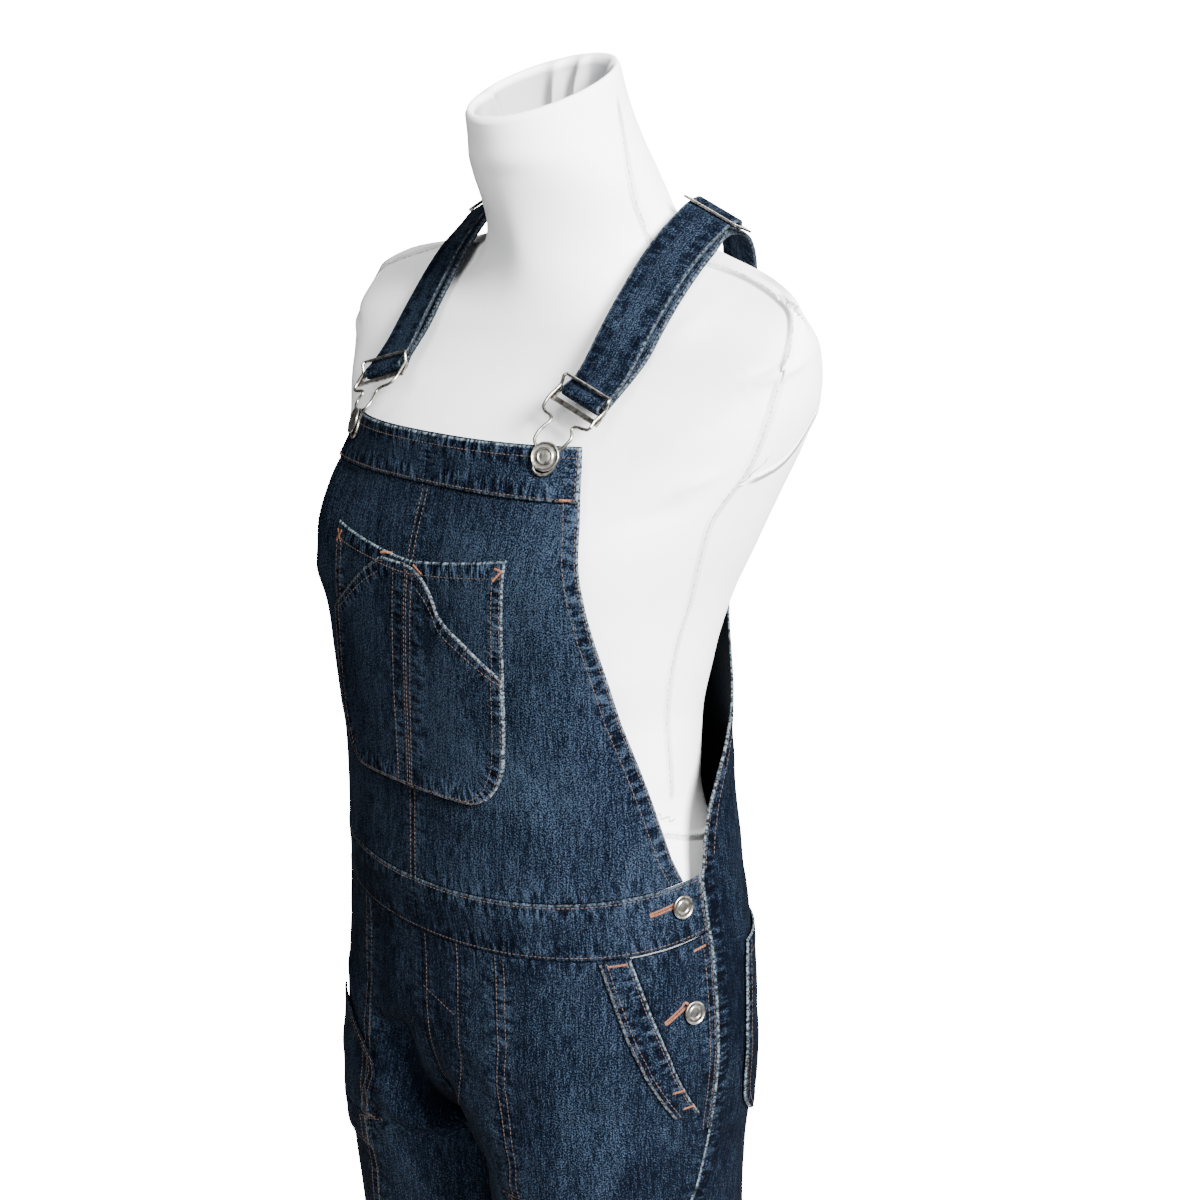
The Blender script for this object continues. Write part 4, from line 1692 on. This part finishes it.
# lamp: name, place, what it looks at, size, watts
LAMPS = (
    ("key", (2.70, -0.45, 2.70), (0.0, 0.0, 1.2), 0.9, 740.0),
    ("front", (1.5, -2.2, 3.1), (0.0, 0.0, 1.2), 1.4, 125.0),
    ("rear", (-1.5, 2.5, 2.6), (0.0, 0.0, 1.1), 1.4, 170.0),
    ("rim", (1.4, 2.3, 1.7), (0.0, 0.0, 1.3), 1.2, 20.0),
)
FLOOR_RADIUS = 1.1
WHITE_SEEN, WHITE_LIT = 18.0, 0.15
LENS_MM, SENSOR_MM, SHIFT = 60.03, 36.0, (0.0477, 0.0022)
EYE_AT, EYE_ROUND, EYE_UP, EYE_ROLL = (0.998136, -0.902518, 1.528263), 47.88, 14.51, -0.59


def make_stage():
    bpy.ops.mesh.primitive_circle_add(vertices=128, radius=FLOOR_RADIUS, fill_type="NGON",
                                      location=(0, 0, -0.0006))
    floor = bpy.context.object
    floor.name = "floor"
    white, _, surface = new_material("White floor")
    surface.inputs["Base Color"].default_value = (0.8, 0.8, 0.8, 1.0)
    surface.inputs["Roughness"].default_value = 0.9
    floor.data.materials.append(white)
    world = bpy.data.worlds.new("White room")
    bpy.context.scene.world = world
    world.use_nodes = True
    world.node_tree.nodes.clear()
    g = Graph(world.node_tree)
    seen = g.node("ShaderNodeBackground", {"Color": (1.0, 1.0, 1.0, 1.0), "Strength": WHITE_SEEN})
    lit = g.node("ShaderNodeBackground", {"Color": (0.97, 0.985, 1.0, 1.0), "Strength": WHITE_LIT})
    ray = g.node("ShaderNodeLightPath")
    both_ways = g.node("ShaderNodeMixShader", {0: ray.outputs["Is Camera Ray"], 1: lit.outputs[0],
                                               2: seen.outputs[0]})
    g.node("ShaderNodeOutputWorld", {0: both_ways.outputs[0]})
    for name, at, aim, size, power_w in LAMPS:
        lamp = bpy.data.lights.new(name, "AREA")
        lamp.size = size
        lamp.energy = power_w
        made = bpy.data.objects.new(name, lamp)
        made.location = at
        made.rotation_mode = "QUATERNION"
        made.rotation_quaternion = (Vector(aim) - Vector(at)).to_track_quat("-Z", "Y")
        bpy.context.scene.collection.objects.link(made)
    lens = bpy.data.cameras.new("camera")
    lens.lens = LENS_MM
    lens.sensor_width = SENSOR_MM
    lens.shift_x, lens.shift_y = SHIFT
    eye = bpy.data.objects.new("camera", lens)
    az, el = math.radians(EYE_ROUND), math.radians(EYE_UP)
    back = Vector((math.sin(az) * math.cos(el), -math.cos(az) * math.cos(el), math.sin(el)))
    eye.rotation_mode = "QUATERNION"
    eye.location = EYE_AT
    look = (-back).to_track_quat("-Z", "Y")
    eye.rotation_quaternion = look @ Quaternion((0.0, 0.0, 1.0), math.radians(EYE_ROLL))
    bpy.context.scene.collection.objects.link(eye)
    bpy.context.scene.camera = eye


def flat_size(panel):
    """Flat width, length and area of a piece, from its own lines."""
    at = np.array([v.co for v in panel.made.data.vertices]).reshape(*panel.s.shape, 3)
    across = np.linalg.norm(np.diff(at, axis=1), axis=2).sum(1)
    down = np.linalg.norm(np.diff(at, axis=0), axis=2).sum(0)
    a = np.cross(at[:-1, 1:] - at[:-1, :-1], at[1:, :-1] - at[:-1, :-1])
    area = float(np.linalg.norm(a, axis=2).sum())
    return float(across.max()), float(down.max()), area


def declare(made, node=None):
    """Body, look slot and, for a dressed solid, the node that it replaces."""
    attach(made, "root")
    if node:
        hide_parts(node)


def finish_pieces():
    """Rides, slots and cloth declarations of every piece."""
    for name, panel in PANELS.items():
        declare(panel.made, name)
        width, length, area = flat_size(panel)
    for word, strap in STRAPS.items():
        declare(strap["made"], f"strap_{word}")
    for name, made in METAL.items():
        declare(made, name)
    for made in SEWN.values():
        declare(made)
    for name, made in BODY.items():
        declare(made, name)


class OverallsSizes(bpy.types.PropertyGroup):
    """Values that the operators read."""
    stitch_pitch: bpy.props.FloatProperty(name="Stitch pitch", default=0.0031, min=0.001, max=0.01,
                                          unit="LENGTH")


class OVERALLS_OT_looks(bpy.types.Operator):
    """Make the materials"""
    bl_idname = "overalls.looks"
    bl_label = "Materials"

    def execute(self, context):
        make_looks()
        return {"FINISHED"}


class OVERALLS_OT_front(bpy.types.Operator):
    """Bib, its pockets and the waistband"""
    bl_idname = "overalls.front"
    bl_label = "Bib and waistband"

    def execute(self, context):
        make_front()
        return {"FINISHED"}


class OVERALLS_OT_legs(bpy.types.Operator):
    """Legs, slanted pockets and the back"""
    bl_idname = "overalls.legs"
    bl_label = "Legs and back"

    def execute(self, context):
        make_legs()
        return {"FINISHED"}


class OVERALLS_OT_straps(bpy.types.Operator):
    """Shoulder straps"""
    bl_idname = "overalls.straps"
    bl_label = "Straps"

    def execute(self, context):
        make_strap(1, "left")
        make_strap(-1, "right")
        return {"FINISHED"}


class OVERALLS_OT_metal(bpy.types.Operator):
    """Buckles, sliders and buttons"""
    bl_idname = "overalls.metal"
    bl_label = "Fasteners"

    def execute(self, context):
        make_metal()
        return {"FINISHED"}


class OVERALLS_OT_stitches(bpy.types.Operator):
    """Stitch rows, tacks and buttonholes"""
    bl_idname = "overalls.stitches"
    bl_label = "Sewing"

    def execute(self, context):
        make_stitches()
        return {"FINISHED"}


class OVERALLS_OT_form(bpy.types.Operator):
    """Dress form and its stand"""
    bl_idname = "overalls.form"
    bl_label = "Form and stand"

    def execute(self, context):
        make_form()
        make_stand()
        return {"FINISHED"}


class OVERALLS_OT_stage(bpy.types.Operator):
    """Floor, light and camera"""
    bl_idname = "overalls.stage"
    bl_label = "Stage"

    def execute(self, context):
        make_stage()
        return {"FINISHED"}


STEPS = (OVERALLS_OT_looks, OVERALLS_OT_front, OVERALLS_OT_legs, OVERALLS_OT_straps, OVERALLS_OT_metal,
         OVERALLS_OT_stitches, OVERALLS_OT_form, OVERALLS_OT_stage)


class OVERALLS_PT_panel(bpy.types.Panel):
    bl_label = "Bib overalls"
    bl_idname = "OVERALLS_PT_panel"
    bl_space_type = "VIEW_3D"
    bl_region_type = "UI"
    bl_category = "Overalls"

    def draw(self, context):
        self.layout.prop(context.scene.overalls_sizes, "stitch_pitch")
        for step in STEPS:
            self.layout.operator(step.bl_idname)


CLASSES = (OverallsSizes, *STEPS, OVERALLS_PT_panel)


def register():
    for cls in CLASSES:
        bpy.utils.register_class(cls)
    bpy.types.Scene.overalls_sizes = bpy.props.PointerProperty(type=OverallsSizes)


def unregister():
    del bpy.types.Scene.overalls_sizes
    for cls in reversed(CLASSES):
        bpy.utils.unregister_class(cls)


def main():
    register()
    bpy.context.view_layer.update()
    for step in STEPS:
        group, name = step.bl_idname.split(".")
        getattr(getattr(bpy.ops, group), name)()
    finish_pieces()


if __name__ == "__main__":
    main()
